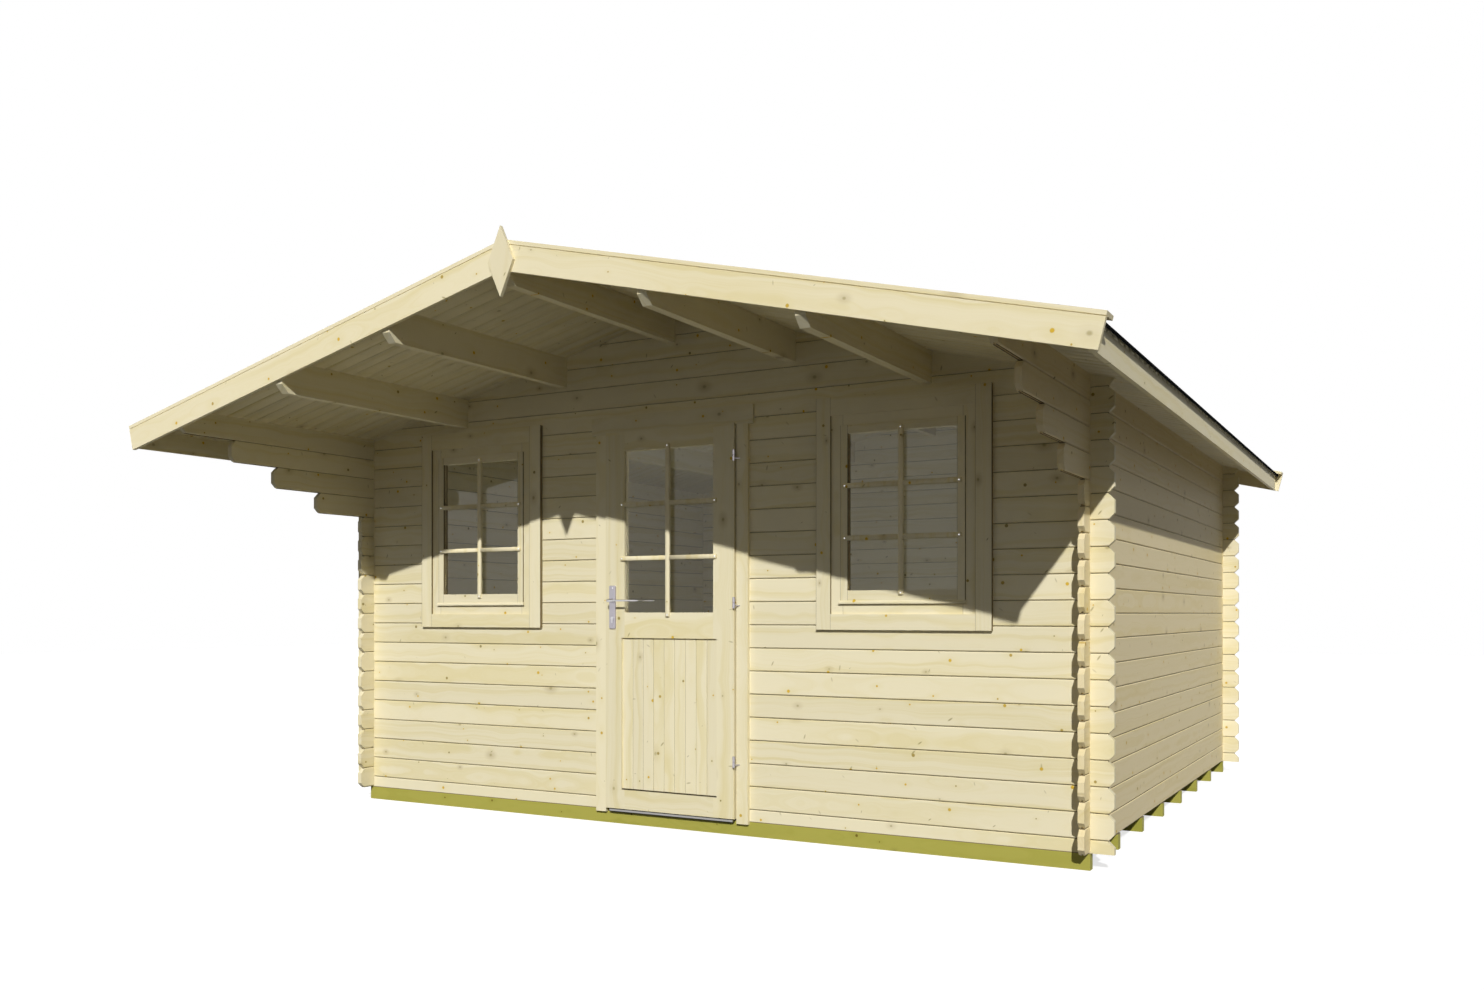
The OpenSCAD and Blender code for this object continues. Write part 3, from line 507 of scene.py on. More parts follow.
# Only the right wall's logs get the painted warm light; the left wall's keep plain spruce
for hand, tones in (("left", FRESH), ("right", RIGHT_LOGS_PAINTED_WARM_LIGHT)):
    finish = spruce(f"spruce {hand} logs", "y", "z", side_log, 2, 0.0, True, tones, LOG_JOINT_SHADE, z=LOG_H)
    dress(finish, f"{hand}_wall_odd_logs", f"{hand}_wall_even_logs")
centre, way = first_of("right_purlins", 0, PURLIN_T)
dress(spruce("spruce purlins", "y", "z", centre, 3, twin=True, x=way), "left_purlins", "right_purlins")
dress(spruce("spruce ridge purlin", "y", "z", middle("ridge_purlin"), 4), "ridge_purlin")
centre, way = first_of("foundation_beams", 1, BEAM_W)
# Painted shadow: a dark band along the beams' top, as high as this shift, for the shadow under the lowest
# logs
centre[2] -= BEAM_TOP_SHADOW
beam_top_shade = (LOGS_Z / 2, THROUGH)
beam_finish = spruce(
    "green treated beams", "x", "z", centre, 5, tones=GREEN_TREATED, joint_shade=beam_top_shade, y=way / (BEAMS - 1))
dress(beam_finish, "foundation_beams")
print("Logs, purlins and beams are dressed")

# %% Finish the joinery
# Painted shade: a thin dark line along both edges of each casing side, frame side and sash stile, for the
# shade in the gaps between them
EDGE_SHADE_LINE = 0.0012
for seed, (node, wide) in enumerate((
    ("window_casing_sides", 0.076), ("window_frame_sides", 0.081), ("window_sash_stiles", SASH_SIDE),
)):
    centre, way = first_of(node, 0, wide, right_half=True)
    edge_shade = (wide / 2 - EDGE_SHADE_LINE, THROUGH)
    dress(spruce(label(node), "z", "x", centre, 10 + seed, twin=True, joint_shade=edge_shade, x=way), node)
for seed, (node, sill, head) in enumerate((
    ("window_casing_heads_and_sills", 0.074, 0.088), ("window_frame_heads_and_sills", 0.116, 0.091),
    ("window_sash_rails", SASH_BOTTOM, SASH_TOP),
)):
    centre, way = first_of(node, 2, sill, head, right_half=True)
    dress(spruce(label(node), "x", "z", centre, 20 + seed, twin=True, z=way), node)
for seed, node in enumerate(("door_casing_sides", "door_frame_jambs", "door_stiles")):
    dress(spruce(label(node), "z", "x", middle(node, right_half=True), 30 + seed, twin=True), node)
for seed, node in enumerate(("door_casing_head", "door_frame_head")):
    dress(spruce(label(node), "x", "z", middle(node), 35 + seed), node)
RAIL_H = 0.100
centre, way = first_of("door_rails", 2, RAIL_H)
dress(spruce("spruce door rails", "x", "z", centre, 38, z=way / 2), "door_rails")
PANEL_BOARDS = 9
# Painted shade: a thin dark line in the vee between the panel's boards
PANEL_LINE, PANEL_VEE = 0.0007, 0.0012
GROOVE_D = 0.008
panel_low, panel_high = corners("door_panel")
panel_pitch = (panel_high[0] - panel_low[0] - 2 * GROOVE_D) / PANEL_BOARDS
panel_joint_shade = (panel_pitch / 2 - PANEL_LINE, (panel_high[1] - panel_low[1]) / 2 - PANEL_VEE)
panel_finish = spruce(
    "spruce door panel", "z", "x", middle("door_panel"), 39, joint_shade=panel_joint_shade, x=panel_pitch)
dress(panel_finish, "door_panel")
print("Casings, windows and door are dressed")

# %% Finish the roof trim
FINIAL_T = 0.016
centre, way = first_of("gable_finials", 1, FINIAL_T)
dress(spruce("spruce finials", "z", "x", centre, 41, tones=PEAK_WOOD, y=way), "gable_finials")
for seed, (kind, across, wide, square) in enumerate((
    ("bargeboards", "z", 0.018, -0.037), ("verge_covers", "y", 0.090, 0.027),
)):
    centre, way = first_of(f"right_{kind}", 1, wide)
    start = (0.0, centre[1], SLOPE_Z + square)
    dress(
        spruce(label(kind), "x", across, start, 42 + seed, -ROOF_ANGLE, True, TRIM_WOOD, y=way),
        f"left_{kind}", f"right_{kind}",
    )
dress(
    spruce("spruce fascia", "y", "z", middle("right_eave_fascia"), 45, twin=True),
    "left_eave_fascia", "right_eave_fascia",
)
print(len(bpy.data.materials), "materials so far")

# %% [markdown]
# ## Roof boards
# The roof is tongued boards that run from the ridge to the eave, with a vee on their lower edges, so the
# canopy shows fine lines from below. Each board is a profile with its tongue, groove and vees, carried down
# the slope, and its ridge end leans so that both slopes meet in a mitre. The boards end flush with the eave
# fascia.

# %% Lay the roof boards
ROOF_BOARDS = 59
ROOF_GAP = 0.002
VEE = 0.0035
TONGUE = 0.006
RIDGE_GAP = 0.0001
# Painted shade in the gaps and vees between the roof boards, over the shade their shape gives
ROOF_LINE, ROOF_VEE = 0.0016, 0.0030
BOARD_END = corners("right_eave_fascia")[1][0] / math.cos(ROOF_ANGLE)


def tongued_profile(width, thick, vee, tongue):
    """Board with two lower vees, a groove on its first edge and a tongue on its second, on height zero."""
    half, low, high = width / 2, thick * 0.40, thick * 0.62
    return np.array([
        [-half + vee, 0.0], [half - vee, 0.0], [half, vee], [half, low], [half + tongue, low + 0.0004],
        [half + tongue, high - 0.0004], [half, high], [half, thick], [-half, thick], [-half, high],
        [-half + tongue, high], [-half + tongue, low], [-half, low], [-half, vee],
    ])


roof_pitch = (ROOF_BACK - ROOF_FRONT) / ROOF_BOARDS
roof_lines = ROOF_FRONT + (np.arange(ROOF_BOARDS) + 0.5) * roof_pitch
roof_profile = tongued_profile(roof_pitch - ROOF_GAP, BOARD_T, VEE, TONGUE)
roof_finish = spruce(
    "spruce roof boards", "x", "y", (0.0, roof_lines[0], SLOPE_Z + BOARD_T / 2), 60, -ROOF_ANGLE, True,
    joint_shade=(roof_pitch / 2 - ROOF_LINE, BOARD_T / 2 - ROOF_VEE), y=roof_pitch)


def roof_run(side, lines, profile):
    """Boards on the given lines of a slope, from the mitre at the ridge down to the eave."""
    along, up = slope_axes(side)[1:]
    rings = [(0.0, RIDGE_GAP, -math.tan(ROOF_ANGLE), profile), (1.0, 0.0, 0.0, profile)]
    return carried(rings, on_slope(side, 0.0, lines, 0.0), on_slope(side, BOARD_END, lines, 0.0), along, up)


last_profile = np.stack([np.minimum(roof_profile[:, 0], roof_pitch / 2), roof_profile[:, 1]], 1)
for side, hand in ((-1, "left"), (1, "right")):
    whole = roof_run(side, roof_lines[:-1], roof_profile)
    last = roof_run(side, roof_lines[-1:], last_profile)
    boards = make_piece(f"{hand}_roof_boarding", *joined(whole, last), roof_finish, "cabin", "boarding")
    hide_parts(f"{hand}_roof_boards")

# %% [markdown]
# ## Roofing felt
# Black felt lies on the boards in strips along the eave. Each strip laps over the one below, which leaves a
# small step and a row of flat nails, and the lowest strip stands out past the board ends and is turned down.
# A sheet of even thickness would look like paint, so its height is a function of the way down the slope: a
# step up at each lap, fading out above it.

# %% Lay the felt
FELT_BASE = 0.0012
FELT_FOOT = 0.004
FELT_STEP = 0.0012
FELT_START = 0.002
FELT_CLEAR = 0.0005
FELT_UNDER = BOARD_T + 0.0004
FELT_EDGE_X = SLOPE_L * math.cos(ROOF_ANGLE)
LAPS = np.array([0.55, 1.24, 1.93])
LAP_FADE = 0.16
NAIL_STEP = 0.105
COVER_W = 0.09


def felt_black():
    """Bitumen felt: rough charcoal grit with patches and rain streaks; its turned-down edge is black."""
    f = Finish("mineral felt")
    place = f.node("TexCoord").outputs["Object"]
    grit = f.noise(place, 900.0, 2.0, 0.7)
    patch = f.noise(place, 2.2, 3.0, 0.6)
    streak = f.noise(f.vector("MULTIPLY", place, (1.5, 22.0, 1.5)), 1.0, 4.0, 0.65)
    tone = f.mix(f.fade(grit, 0.40, 0.72), colour(0.014, 0.014, 0.015), colour(0.095, 0.095, 0.098))
    tone = f.mix(f.fade(patch, 0.35, 0.70, 0.0, 0.65), tone, colour(0.024, 0.024, 0.024))
    tone = f.mix(f.fade(streak, 0.50, 0.80, 0.0, 0.60), tone, colour(0.085, 0.085, 0.082))
    out = f.math("ABSOLUTE", f.split(place)[0])
    tone = f.mix(f.fade(out, FELT_EDGE_X - 0.006, FELT_EDGE_X - 0.001), tone, colour(0.0008, 0.0008, 0.0008))
    return f.set(Base_Color=tone, Roughness=f.fade(grit, 0.3, 0.7, 0.98, 0.85), Specular_IOR_Level=0.01,
                 Normal=f.bump(grit, 0.0012, 0.7))


def felt_height(s):
    """Height of the felt over the boards: a base, plus a step below each lap's edge that fades out uphill."""
    above = LAPS[:, None] - s[None]
    step = np.where((above >= 0) & (above < LAP_FADE), 1 - above / LAP_FADE, 0.0).max(0)
    return FELT_BASE + FELT_STEP * step


felt_finish = felt_black()
lap_edge = np.array([-1e-4, 1e-4])
felt_s = np.sort(np.concatenate([
    np.linspace(FELT_START, SLOPE_L, 30), (LAPS[:, None] + lap_edge).ravel(), LAPS - LAP_FADE,
]))
round_off = np.linspace(0, np.pi / 2, 6)
edge_n = BOARD_T + FELT_BASE - FELT_T
felt_profile = np.concatenate([
    np.stack([felt_s, BOARD_T + felt_height(felt_s)], 1),
    np.stack([SLOPE_L + FELT_T * np.sin(round_off), edge_n + FELT_T * np.cos(round_off)], 1)[1:],
    [[SLOPE_L + FELT_T, FELT_FOOT], [SLOPE_L + FELT_CLEAR, FELT_FOOT]],
    [[SLOPE_L + FELT_CLEAR, FELT_UNDER], [FELT_START, FELT_UNDER]],
])
felt_y = np.linspace(ROOF_FRONT, ROOF_BACK, 70)
share = (felt_y - ROOF_FRONT) / (ROOF_BACK - ROOF_FRONT)
for side, hand in ((-1, "left"), (1, "right")):
    waver = 0.003 * np.sin(7 * share + side) + 0.0015 * np.sin(19 * share)
    free = np.where((felt_profile[:, 0] > 0.3) & (felt_profile[:, 0] < SLOPE_L - 0.05), 1.0, 0.0)
    s = felt_profile[None, :, 0] + waver[:, None] * free[None]
    points = on_slope(side, s, felt_y[:, None], felt_profile[None, :, 1])
    shape = points[None], ring_faces(1, len(felt_y), len(felt_profile))
    felt = make_piece(f"{hand}_felt_strips", *shape, felt_finish, "cabin", "felt", smooth=25)
    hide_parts(f"{hand}_roof_felt")

# %% [markdown]
# ## Ridge strip
# A last strip of felt is bent over the ridge and covers the top edges of both slopes. Its outline is an
# upturned vee: both faces follow the slopes, and they meet where a slope's own formula gives x zero.

# %% Cap the ridge
CAP_REACH = 0.16
CAP_T = 0.0014
CAP_CLEAR = 0.001


def cap_face(n):
    """Three points across the ridge at a height n over the slopes: left edge, ridge line, right edge."""
    ridge = on_slope(1, -n * math.tan(ROOF_ANGLE), 0.0, n)
    return np.stack([on_slope(-1, CAP_REACH, 0.0, n), ridge, on_slope(1, CAP_REACH, 0.0, n)])


cap_low = BOARD_T + FELT_BASE
cap_outline = np.concatenate([cap_face(cap_low + CAP_T), cap_face(cap_low)[::-1]])[:, [0, 2]]
cap_in = COVER_W + CAP_CLEAR
cap_shape = plain_run(
    cap_outline, [0.0, ROOF_FRONT + cap_in, 0.0], [0.0, ROOF_BACK - cap_in, 0.0], (1, 0, 0), (0, 0, 1))
make_piece("ridge_felt_strip", *cap_shape, felt_finish, "cabin", "felt")

# %% [markdown]
# ## Felt nails
# Flat nails with broad heads hold each lap. A head is a low dome turned round its own axis, and all heads are
# one mesh, because hundreds of objects would be slow.

# %% Nail the felt
NAIL_ABOVE = 0.03
NAIL_SUNK = 0.0002
nail_profile = np.array([
    [0.0048, 0.0], [0.0048, 0.0005], [0.0036, 0.0009], [0.0015, 0.0011], [0.0001, 0.0011],
])


def zinc(name, low, high, rough):
    """Zinc: metal with a cloudy tone between two greys, rougher where it is paler."""
    f = Finish(name)
    cloud = f.noise(f.node("TexCoord").outputs["Object"], 260.0, 3.0)
    tone = f.mix(cloud, colour(low, low, low * 1.03), colour(high, high, high * 1.02))
    return f.set(Base_Color=tone, Metallic=1.0, Roughness=f.fade(cloud, 0.2, 0.8, rough, rough + 0.25))


zinc_finish = zinc("dull zinc", 0.40, 0.62, 0.35)
pin_finish = zinc("bright zinc", 0.80, 0.95, 0.15)
nail_y = np.arange(ROOF_FRONT + COVER_W + 0.05, ROOF_BACK - COVER_W - 0.03, NAIL_STEP)
nail_s = np.append(LAPS, CAP_REACH) - NAIL_ABOVE
nail_rise = felt_height(nail_s) + np.where(nail_s < CAP_REACH, CAP_T, 0.0)
nail_parts = []
for side in (-1, 1):
    along, up = slope_axes(side)[1:]
    heads_n = BOARD_T + nail_rise[:, None] - NAIL_SUNK
    heads = on_slope(side, nail_s[:, None], nail_y[None], heads_n)
    nail_parts.append(turned(nail_profile, 8, heads.reshape(-1, 3), up, along))
make_piece("felt_nails", *joined(*nail_parts), zinc_finish, "cabin", "hinge_steel", smooth=50)

# %% [markdown]
# ## Floor boards
# The floor's boards lie from front to back across the beams and show through the glass and the open door.
# They stop at the door frame, so they come in three runs: left of it, behind it and right of it. Nine whole
# boards fill the middle run, and a ripped board ends each side run.

# %% Lay the floor
MIDDLE_BOARDS = 9
FLOOR_EASE = 0.0015
BOARD_GAP = 0.0006
floor_low, floor_high = corners("floor")
jambs_high = corners("door_frame_jambs")[1]
FLOOR_GAP = 0.005
notch_x, notch_y = jambs_high[0] + FLOOR_GAP, jambs_high[1] + FLOOR_GAP
FLOOR_T = floor_high[2] - floor_low[2]
FLOOR_PITCH = 2 * notch_x / MIDDLE_BOARDS


def board_run(x_start, count, width, y0):
    """A number of boards side by side from x_start to the right, from y0 to the back of the room."""
    middles = x_start + (np.arange(count) + 0.5) * width
    profile = eased_rectangle(width - BOARD_GAP, FLOOR_T, FLOOR_EASE)
    foot = np.stack([middles, np.full(count, y0), np.full(count, floor_low[2])], 1)
    return plain_run(profile, foot, foot + [0.0, floor_high[1] - y0, 0.0], (1, 0, 0), (0, 0, 1))


side_count = int((floor_high[0] - notch_x) / FLOOR_PITCH)
side_w = side_count * FLOOR_PITCH
rest = floor_high[0] - notch_x - side_w
runs = joined(
    board_run(floor_low[0], 1, rest, floor_low[1]),
    board_run(-notch_x - side_w, side_count, FLOOR_PITCH, floor_low[1]),
    board_run(-notch_x, MIDDLE_BOARDS, FLOOR_PITCH, notch_y),
    board_run(notch_x, side_count, FLOOR_PITCH, floor_low[1]),
    board_run(notch_x + side_w, 1, rest, floor_low[1]),
)
floor_finish = spruce("spruce floor", "y", "x", middle("floor"), 70, x=FLOOR_PITCH)
floor_boards = make_piece("floor_boards", *runs, floor_finish, "cabin", "boarding")
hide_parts("floor")

# %% [markdown]
# ## Glazing bars
# The panes look divided, but each window is one sheet: slim bars are pinned on the front of the sash, an
# upright and two cross bars that stop against it. Their ends lap onto the sash and are eased, and between the
# edges of the sash a bar is deeper, so that it nearly reaches the glass. A bar is a rectangle with cut
# corners, carried along its length, drawn in at both ends and stepped at the edge of the sash.

# %% Pin the bars
BAR_W = 0.023
BAR_T = 0.010
BAR_DEEP = 0.011
BAR_CLEAR = 0.0006
BAR_EASE = 0.0025
BAR_LAP = 0.021
PIN_R, PIN_RISE = 0.0040, 0.0016
PIN_IN = 0.009
CROSS_GAP = 0.0003
CROSS_BARS = np.array([1, 2]) / 3


def bar_shapes(x_mid, x_half, z_low, z_high, face_y):
    """Upright, four half cross bars and the places of their pins, for one glazed field on a face."""
    full = eased_rectangle(BAR_W, BAR_T, BAR_EASE)
    drawn_in = eased_rectangle(BAR_W, BAR_T, BAR_EASE / 2, BAR_EASE / 2)
    drawn_in[:, 1] = np.where(full[:, 1] < BAR_EASE * 1.5, full[:, 1], drawn_in[:, 1])
    deep = full - np.outer(full[:, 1] < BAR_T / 2, [0.0, BAR_DEEP])
    edge = BAR_LAP + BAR_CLEAR
    places = (0.0, drawn_in), (BAR_EASE, full), (edge, full), (edge, deep)
    start = [(0.0, shift, 0.0, profile) for shift, profile in places]
    end = [(1.0, -shift, 0.0, profile) for shift, profile in places[::-1]]
    foot, head = [x_mid, face_y, z_low - BAR_LAP], [x_mid, face_y, z_high + BAR_LAP]
    upright = carried(start + end, foot, head, (1, 0, 0), (0, -1, 0))
    levels = z_low + CROSS_BARS * (z_high - z_low)
    side, level = np.meshgrid([-1, 1], levels, indexing="ij")
    side, level = side.ravel(), level.ravel()
    outer = np.stack([x_mid + side * (x_half + BAR_LAP), 0 * side + face_y, level], 1)
    inner = np.stack([x_mid + side * (BAR_W / 2 + CROSS_GAP), 0 * side + face_y, level], 1)
    cross = carried(start + [(1.0, 0.0, 0.0, deep)], outer, inner, (0, 0, 1), (0, -1, 0))
    pins = np.concatenate([
        outer - np.stack([side * PIN_IN, 0 * side + BAR_T, 0 * side], 1),
        np.array([foot, head]) - [[0.0, BAR_T, -PIN_IN], [0.0, BAR_T, PIN_IN]],
    ])
    return joined(upright, cross), pins


def dome(radius, height, rings=4):
    """Profile of a low dome: radius cos t and height sin t, over a short straight rim."""
    t = np.linspace(0, np.pi / 2 * 0.98, rings)
    return np.stack([radius * np.cos(t), height * np.sin(t)], 1)


bar_finish = spruce(
    "spruce glazing bars", "z", "x", (0.0, WINDOW_LOW[1], WINDOW_LOW[2]), 83, tones=TRIM_WOOD, x=WINDOW_X)
window_fields = [
    bar_shapes(
        hand * WINDOW_X, WINDOW_HIGH[0] - WINDOW_X - SASH_SIDE,
        WINDOW_LOW[2] + SASH_BOTTOM, WINDOW_HIGH[2] - SASH_TOP, WINDOW_LOW[1],
    )
    for hand in (-1, 1)
]
STILE_W, TOP_RAIL, MID_RAIL_TOP = 0.120, 0.086, 1.032
stiles_low, stiles_high = corners("door_stiles")
door_field = bar_shapes(
    0.0, stiles_high[0] - STILE_W, LOGS_Z + MID_RAIL_TOP, stiles_high[2] - TOP_RAIL, stiles_low[1])
for kind, body, fields in (("window", "cabin", window_fields), ("door", "door", [door_field])):
    bars = joined(*(shape for shape, pins in fields))
    make_piece(f"{kind}_glazing_bars", *bars, bar_finish, body, "planed_spruce")
    pins = np.concatenate([pins for shape, pins in fields])
    heads = turned(dome(PIN_R, PIN_RISE), 12, pins, (0, -1, 0), (1, 0, 0))
    make_piece(f"{kind}_bar_pins", *heads, pin_finish, body, "hinge_steel", smooth=60)

# %% [markdown]
# ## Glass
# The panes are clear, and the room behind them is dim, so they read as calm grey: a faint mirror of the pale
# surroundings over the brown inside. A transmitting shader gives both.


# %% Glaze
def clear_glass():
    """Clear glass, with faint waves and hardly any roughness."""
    f = Finish("clear glass")
    place = f.node("TexCoord").outputs["Object"]
    waves = f.noise(place, 3.0, 1.0)
    dust = f.noise(place, 60.0, 3.0, 0.6)
    tone = f.mix(dust, colour(0.97, 0.96, 0.93), colour(1.0, 0.99, 0.96))
    return f.set(Base_Color=tone, Transmission_Weight=1.0, IOR=1.33,
                 Roughness=f.fade(dust, 0.3, 0.8, 0.0, 0.03), Normal=f.bump(waves, 0.001, 0.15))


dress(clear_glass(), "window_panes", "door_glass")
print("Two windows and the door are glazed")

# %% [markdown]
# ## Door furniture
# The lever is a round bar bent once: out of its plate, then along the door. An ellipse is carried along a
# straight, a quarter circle and a straight, and its tip is rounded off. The long plate behind it has round
# corners and a soft edge, two screws and a collar.


# %% Satin metal
def satin_metal(name, low, high, stretch, foot=0.0):
    """Brushed metal: fine lines along one axis change its tone and roughness. Below foot it is a near-black
    painted shadow.
    """
    f = Finish(name)
    place = f.node("TexCoord").outputs["Object"]
    lines = f.noise(f.vector("MULTIPLY", place, stretch), 1.0, 3.0, 0.6)
    # Painted shadow: near black below the foot
    above_shadow_foot = f.fade(f.split(place)[2], foot - 0.0004, foot + 0.0004)
    tone = f.mix(above_shadow_foot, colour(0.010, 0.009, 0.008), f.mix(lines, low, high))
    return f.set(Base_Color=tone, Metallic=1.0, Roughness=f.fade(lines, 0.25, 0.75, 0.30, 0.42),
                 Normal=f.bump(lines, 0.0002, 0.25))


UPRIGHT, LEVEL = (900, 900, 60), (20, 700, 700)
# Below this height the sill metal is a near-black painted shadow line
SILL_SHADOW_FOOT = LOGS_Z - 0.0085
HANDLE_TONES = colour(0.52, 0.51, 0.52), colour(0.66, 0.65, 0.67)
PLATE_TONES = colour(0.38, 0.36, 0.39), colour(0.48, 0.455, 0.485)
SILL_TONES = colour(0.29, 0.285, 0.28), colour(0.40, 0.395, 0.385)
handle_finish = satin_metal("satin aluminium", *HANDLE_TONES, UPRIGHT)
plate_finish = satin_metal("satin plate", *PLATE_TONES, UPRIGHT)
sill_finish = satin_metal("rolled sill metal", *SILL_TONES, LEVEL, SILL_SHADOW_FOOT)
dress(handle_finish, "door_lock_cylinder")
dress(plate_finish, "frame_hinge_knuckles", "door_hinge_knuckles")

# %% Bend the lever
LEVER_BEND = 0.015
LEVER_NECK_R = 0.0085
LEVER_TIP_R = 0.0048
LEVER_BLADE = 0.010
ROOT_IN = 0.004
lever_low, lever_high = corners("door_lever")
plates_low, plates_high = corners("door_handle_plates")
LEVER_X = (plates_low[0] + plates_high[0]) / 2
LEVER_Z = (lever_low[2] + lever_high[2]) / 2


def lever_bar(root_y, blade_y, tip_x):
    """Ellipse carried out of the plate, round a quarter circle and along the door to a rounded tip."""
    way = np.sign(blade_y - root_y)
    bend = np.linspace(0, np.pi / 2, 9)
    straight = np.linspace(0, 1, 12)[1:]
    run = tip_x - LEVER_X - LEVER_BEND
    path_x = np.concatenate([[0, 0], LEVER_BEND * (1 - np.cos(bend)), LEVER_BEND + run * straight])
    bend_y = blade_y - way * LEVER_BEND * (1 - np.sin(bend))
    path_y = np.concatenate([[root_y, (root_y + blade_y) / 2], bend_y, np.full(len(straight), blade_y)])
    path = np.stack([LEVER_X + path_x, path_y, np.full(len(path_x), LEVER_Z)], 1)
    tangent = np.gradient(path, axis=0)
    tangent /= np.linalg.norm(tangent, axis=1, keepdims=True)
    normal = np.cross(tangent, [0, 0, 1])
    reach = np.concatenate([np.zeros(len(path) - len(straight)), straight])
    radius = LEVER_NECK_R + (LEVER_TIP_R - LEVER_NECK_R) * np.minimum(reach * 8, 1.0)
    tip = np.clip((reach - 0.90) / 0.10, 0, 0.995)
    radius = radius * np.sqrt(1 - tip ** 2)
    flat = 1 - 0.25 * np.minimum(reach * 2, 1.0)
    angle = np.linspace(0, 2 * np.pi, 20, endpoint=False)
    points = (path[:, None] + (radius * flat)[:, None, None] * np.cos(angle)[None, :, None] * normal[:, None]
              + radius[:, None, None] * np.sin(angle)[None, :, None] * np.array([0, 0, 1.0]))
    return points[None], ring_faces(1, len(path), len(angle))


lever_bars = joined(
    lever_bar(plates_low[1] + ROOT_IN, lever_low[1] + LEVER_BLADE / 2, lever_high[0]),
    lever_bar(plates_high[1] - ROOT_IN, lever_high[1] - LEVER_BLADE / 2, lever_high[0]),
)
lever = make_piece("lever_handle", *lever_bars, handle_finish, "lever", "handle_metal", smooth=60)
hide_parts("door_lever")

# %% Shape the plates
PLATE_ROUND = 0.007
PLATE_EDGE = 0.002
COLLAR_R, COLLAR_BORE = 0.0135, 0.0092
PLATE_T = 0.008
SCREW_R, SCREW_RISE = 0.0042, 0.0014
SCREW_IN = 0.016


def plate(face_y, out):
    """Round-cornered outline carried from the door to the plate's face and drawn in at its soft edge."""
    half_w, half_h = (plates_high[0] - plates_low[0]) / 2, (plates_high[2] - plates_low[2]) / 2
    corner = np.repeat(np.arange(4) * np.pi / 2, 5)
    angle = corner + np.tile(np.linspace(0, np.pi / 2, 5), 4)
    sign = np.stack([np.sign(np.cos(corner + np.pi / 4)), np.sign(np.sin(corner + np.pi / 4))], 1)
    soft = np.linspace(0, np.pi / 2, 5)
    inset = np.concatenate([[0.0], PLATE_EDGE * (1 - np.cos(soft))])
    height = np.concatenate([[0.0], PLATE_T - PLATE_EDGE + PLATE_EDGE * np.sin(soft)])
    turn = np.stack([np.cos(angle), np.sin(angle)], 1)
    heart = np.array([LEVER_X, (plates_low[2] + plates_high[2]) / 2])
    base = heart + sign * np.array([half_w - PLATE_ROUND, half_h - PLATE_ROUND])
    flat = base[None] + (PLATE_ROUND - inset)[:, None, None] * turn[None]
    y = np.broadcast_to((face_y + out * height)[:, None], flat.shape[:2])
    points = np.stack([flat[..., 0], y, flat[..., 1]], -1)
    return points[None], ring_faces(1, len(height), len(angle))


def plate_trim(face_y, out):
    """Collar round the lever's neck and two screw heads on a plate's face."""
    collar = np.array([
        [COLLAR_R, -0.001], [COLLAR_R, 0.0025], [COLLAR_R - 0.001, 0.0035],
        [COLLAR_BORE + 0.0006, 0.0035], [COLLAR_BORE, 0.0025], [COLLAR_BORE, -0.001],
    ])
    ends = [[LEVER_X, face_y, z] for z in (plates_low[2] + SCREW_IN, plates_high[2] - SCREW_IN)]
    screws = turned(dome(SCREW_R, SCREW_RISE), 16, ends, (0, out, 0), (1, 0, 0))
    neck = turned(collar, 28, [[LEVER_X, face_y, LEVER_Z]], (0, out, 0), (1, 0, 0))
    return joined((neck[0], neck[1][:1]), screws)


leaf_front, leaf_back = stiles_low[1], stiles_high[1]
plate_pair = joined(
    plate(leaf_front, -1), plate(leaf_back, 1),
    plate_trim(leaf_front - PLATE_T, -1), plate_trim(leaf_back + PLATE_T, 1),
)
plates = make_piece("handle_plate_pair", *plate_pair, plate_finish, "door", "handle_metal", smooth=40)
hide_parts("door_handle_plates")

# %% [markdown]
# ## Threshold
# A metal strip guards the front beam under the door. Its top has fine ribs so that shoes don't slip, and its
# front edge is rolled over the beam, with a near-black painted shadow at its foot. It is one profile, carried
# across the doorway.

# %% Roll the threshold
RIB_DEPTH = 0.0008
RIBS = 9
RIB_FRONT, RIB_BACK = 0.012, 0.002
NOSE_R = 0.003
sill_low, sill_high = corners("door_threshold")
rib = np.linspace(0, 1, RIBS * 4 + 1)
nose = np.linspace(np.pi, np.pi / 2, 5)
sill_top = np.stack([
    sill_low[1] + RIB_FRONT + rib * (sill_high[1] - sill_low[1] - RIB_FRONT - RIB_BACK),
    sill_high[2] - RIB_DEPTH * (0.5 - 0.5 * np.cos(2 * np.pi * RIBS * rib)),
], 1)
sill_profile = np.concatenate([
    [[sill_low[1], sill_low[2]]],
    np.stack([sill_low[1] + NOSE_R * (1 + np.cos(nose)), sill_high[2] - NOSE_R * (1 - np.sin(nose))], 1),
    sill_top,
    [[sill_high[1], sill_high[2] - 0.001], [sill_high[1], LOGS_Z], [FRONT_Y, LOGS_Z], [FRONT_Y, sill_low[2]]],
])
sill_shape = plain_run(sill_profile, [sill_low[0], 0, 0], [sill_high[0], 0, 0], (0, 1, 0), (0, 0, 1))
sill = make_piece("threshold_strip", *sill_shape, sill_finish, "cabin", "handle_metal", smooth=35)
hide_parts("door_threshold")

# %% [markdown]
# ## Painted shade under the door panel
# A dark strip on the bottom rail at the panel's foot is painted shade, standing in for the shaded gap there.
# It is a small rectangle with cut corners, carried from stile to stile.

# %% Lay the painted shade strip
SHADE_STRIP_W, SHADE_STRIP_H, SHADE_STRIP_EASE = 0.006, 0.007, 0.002
SHADE_STRIP_SHORT = 0.0005


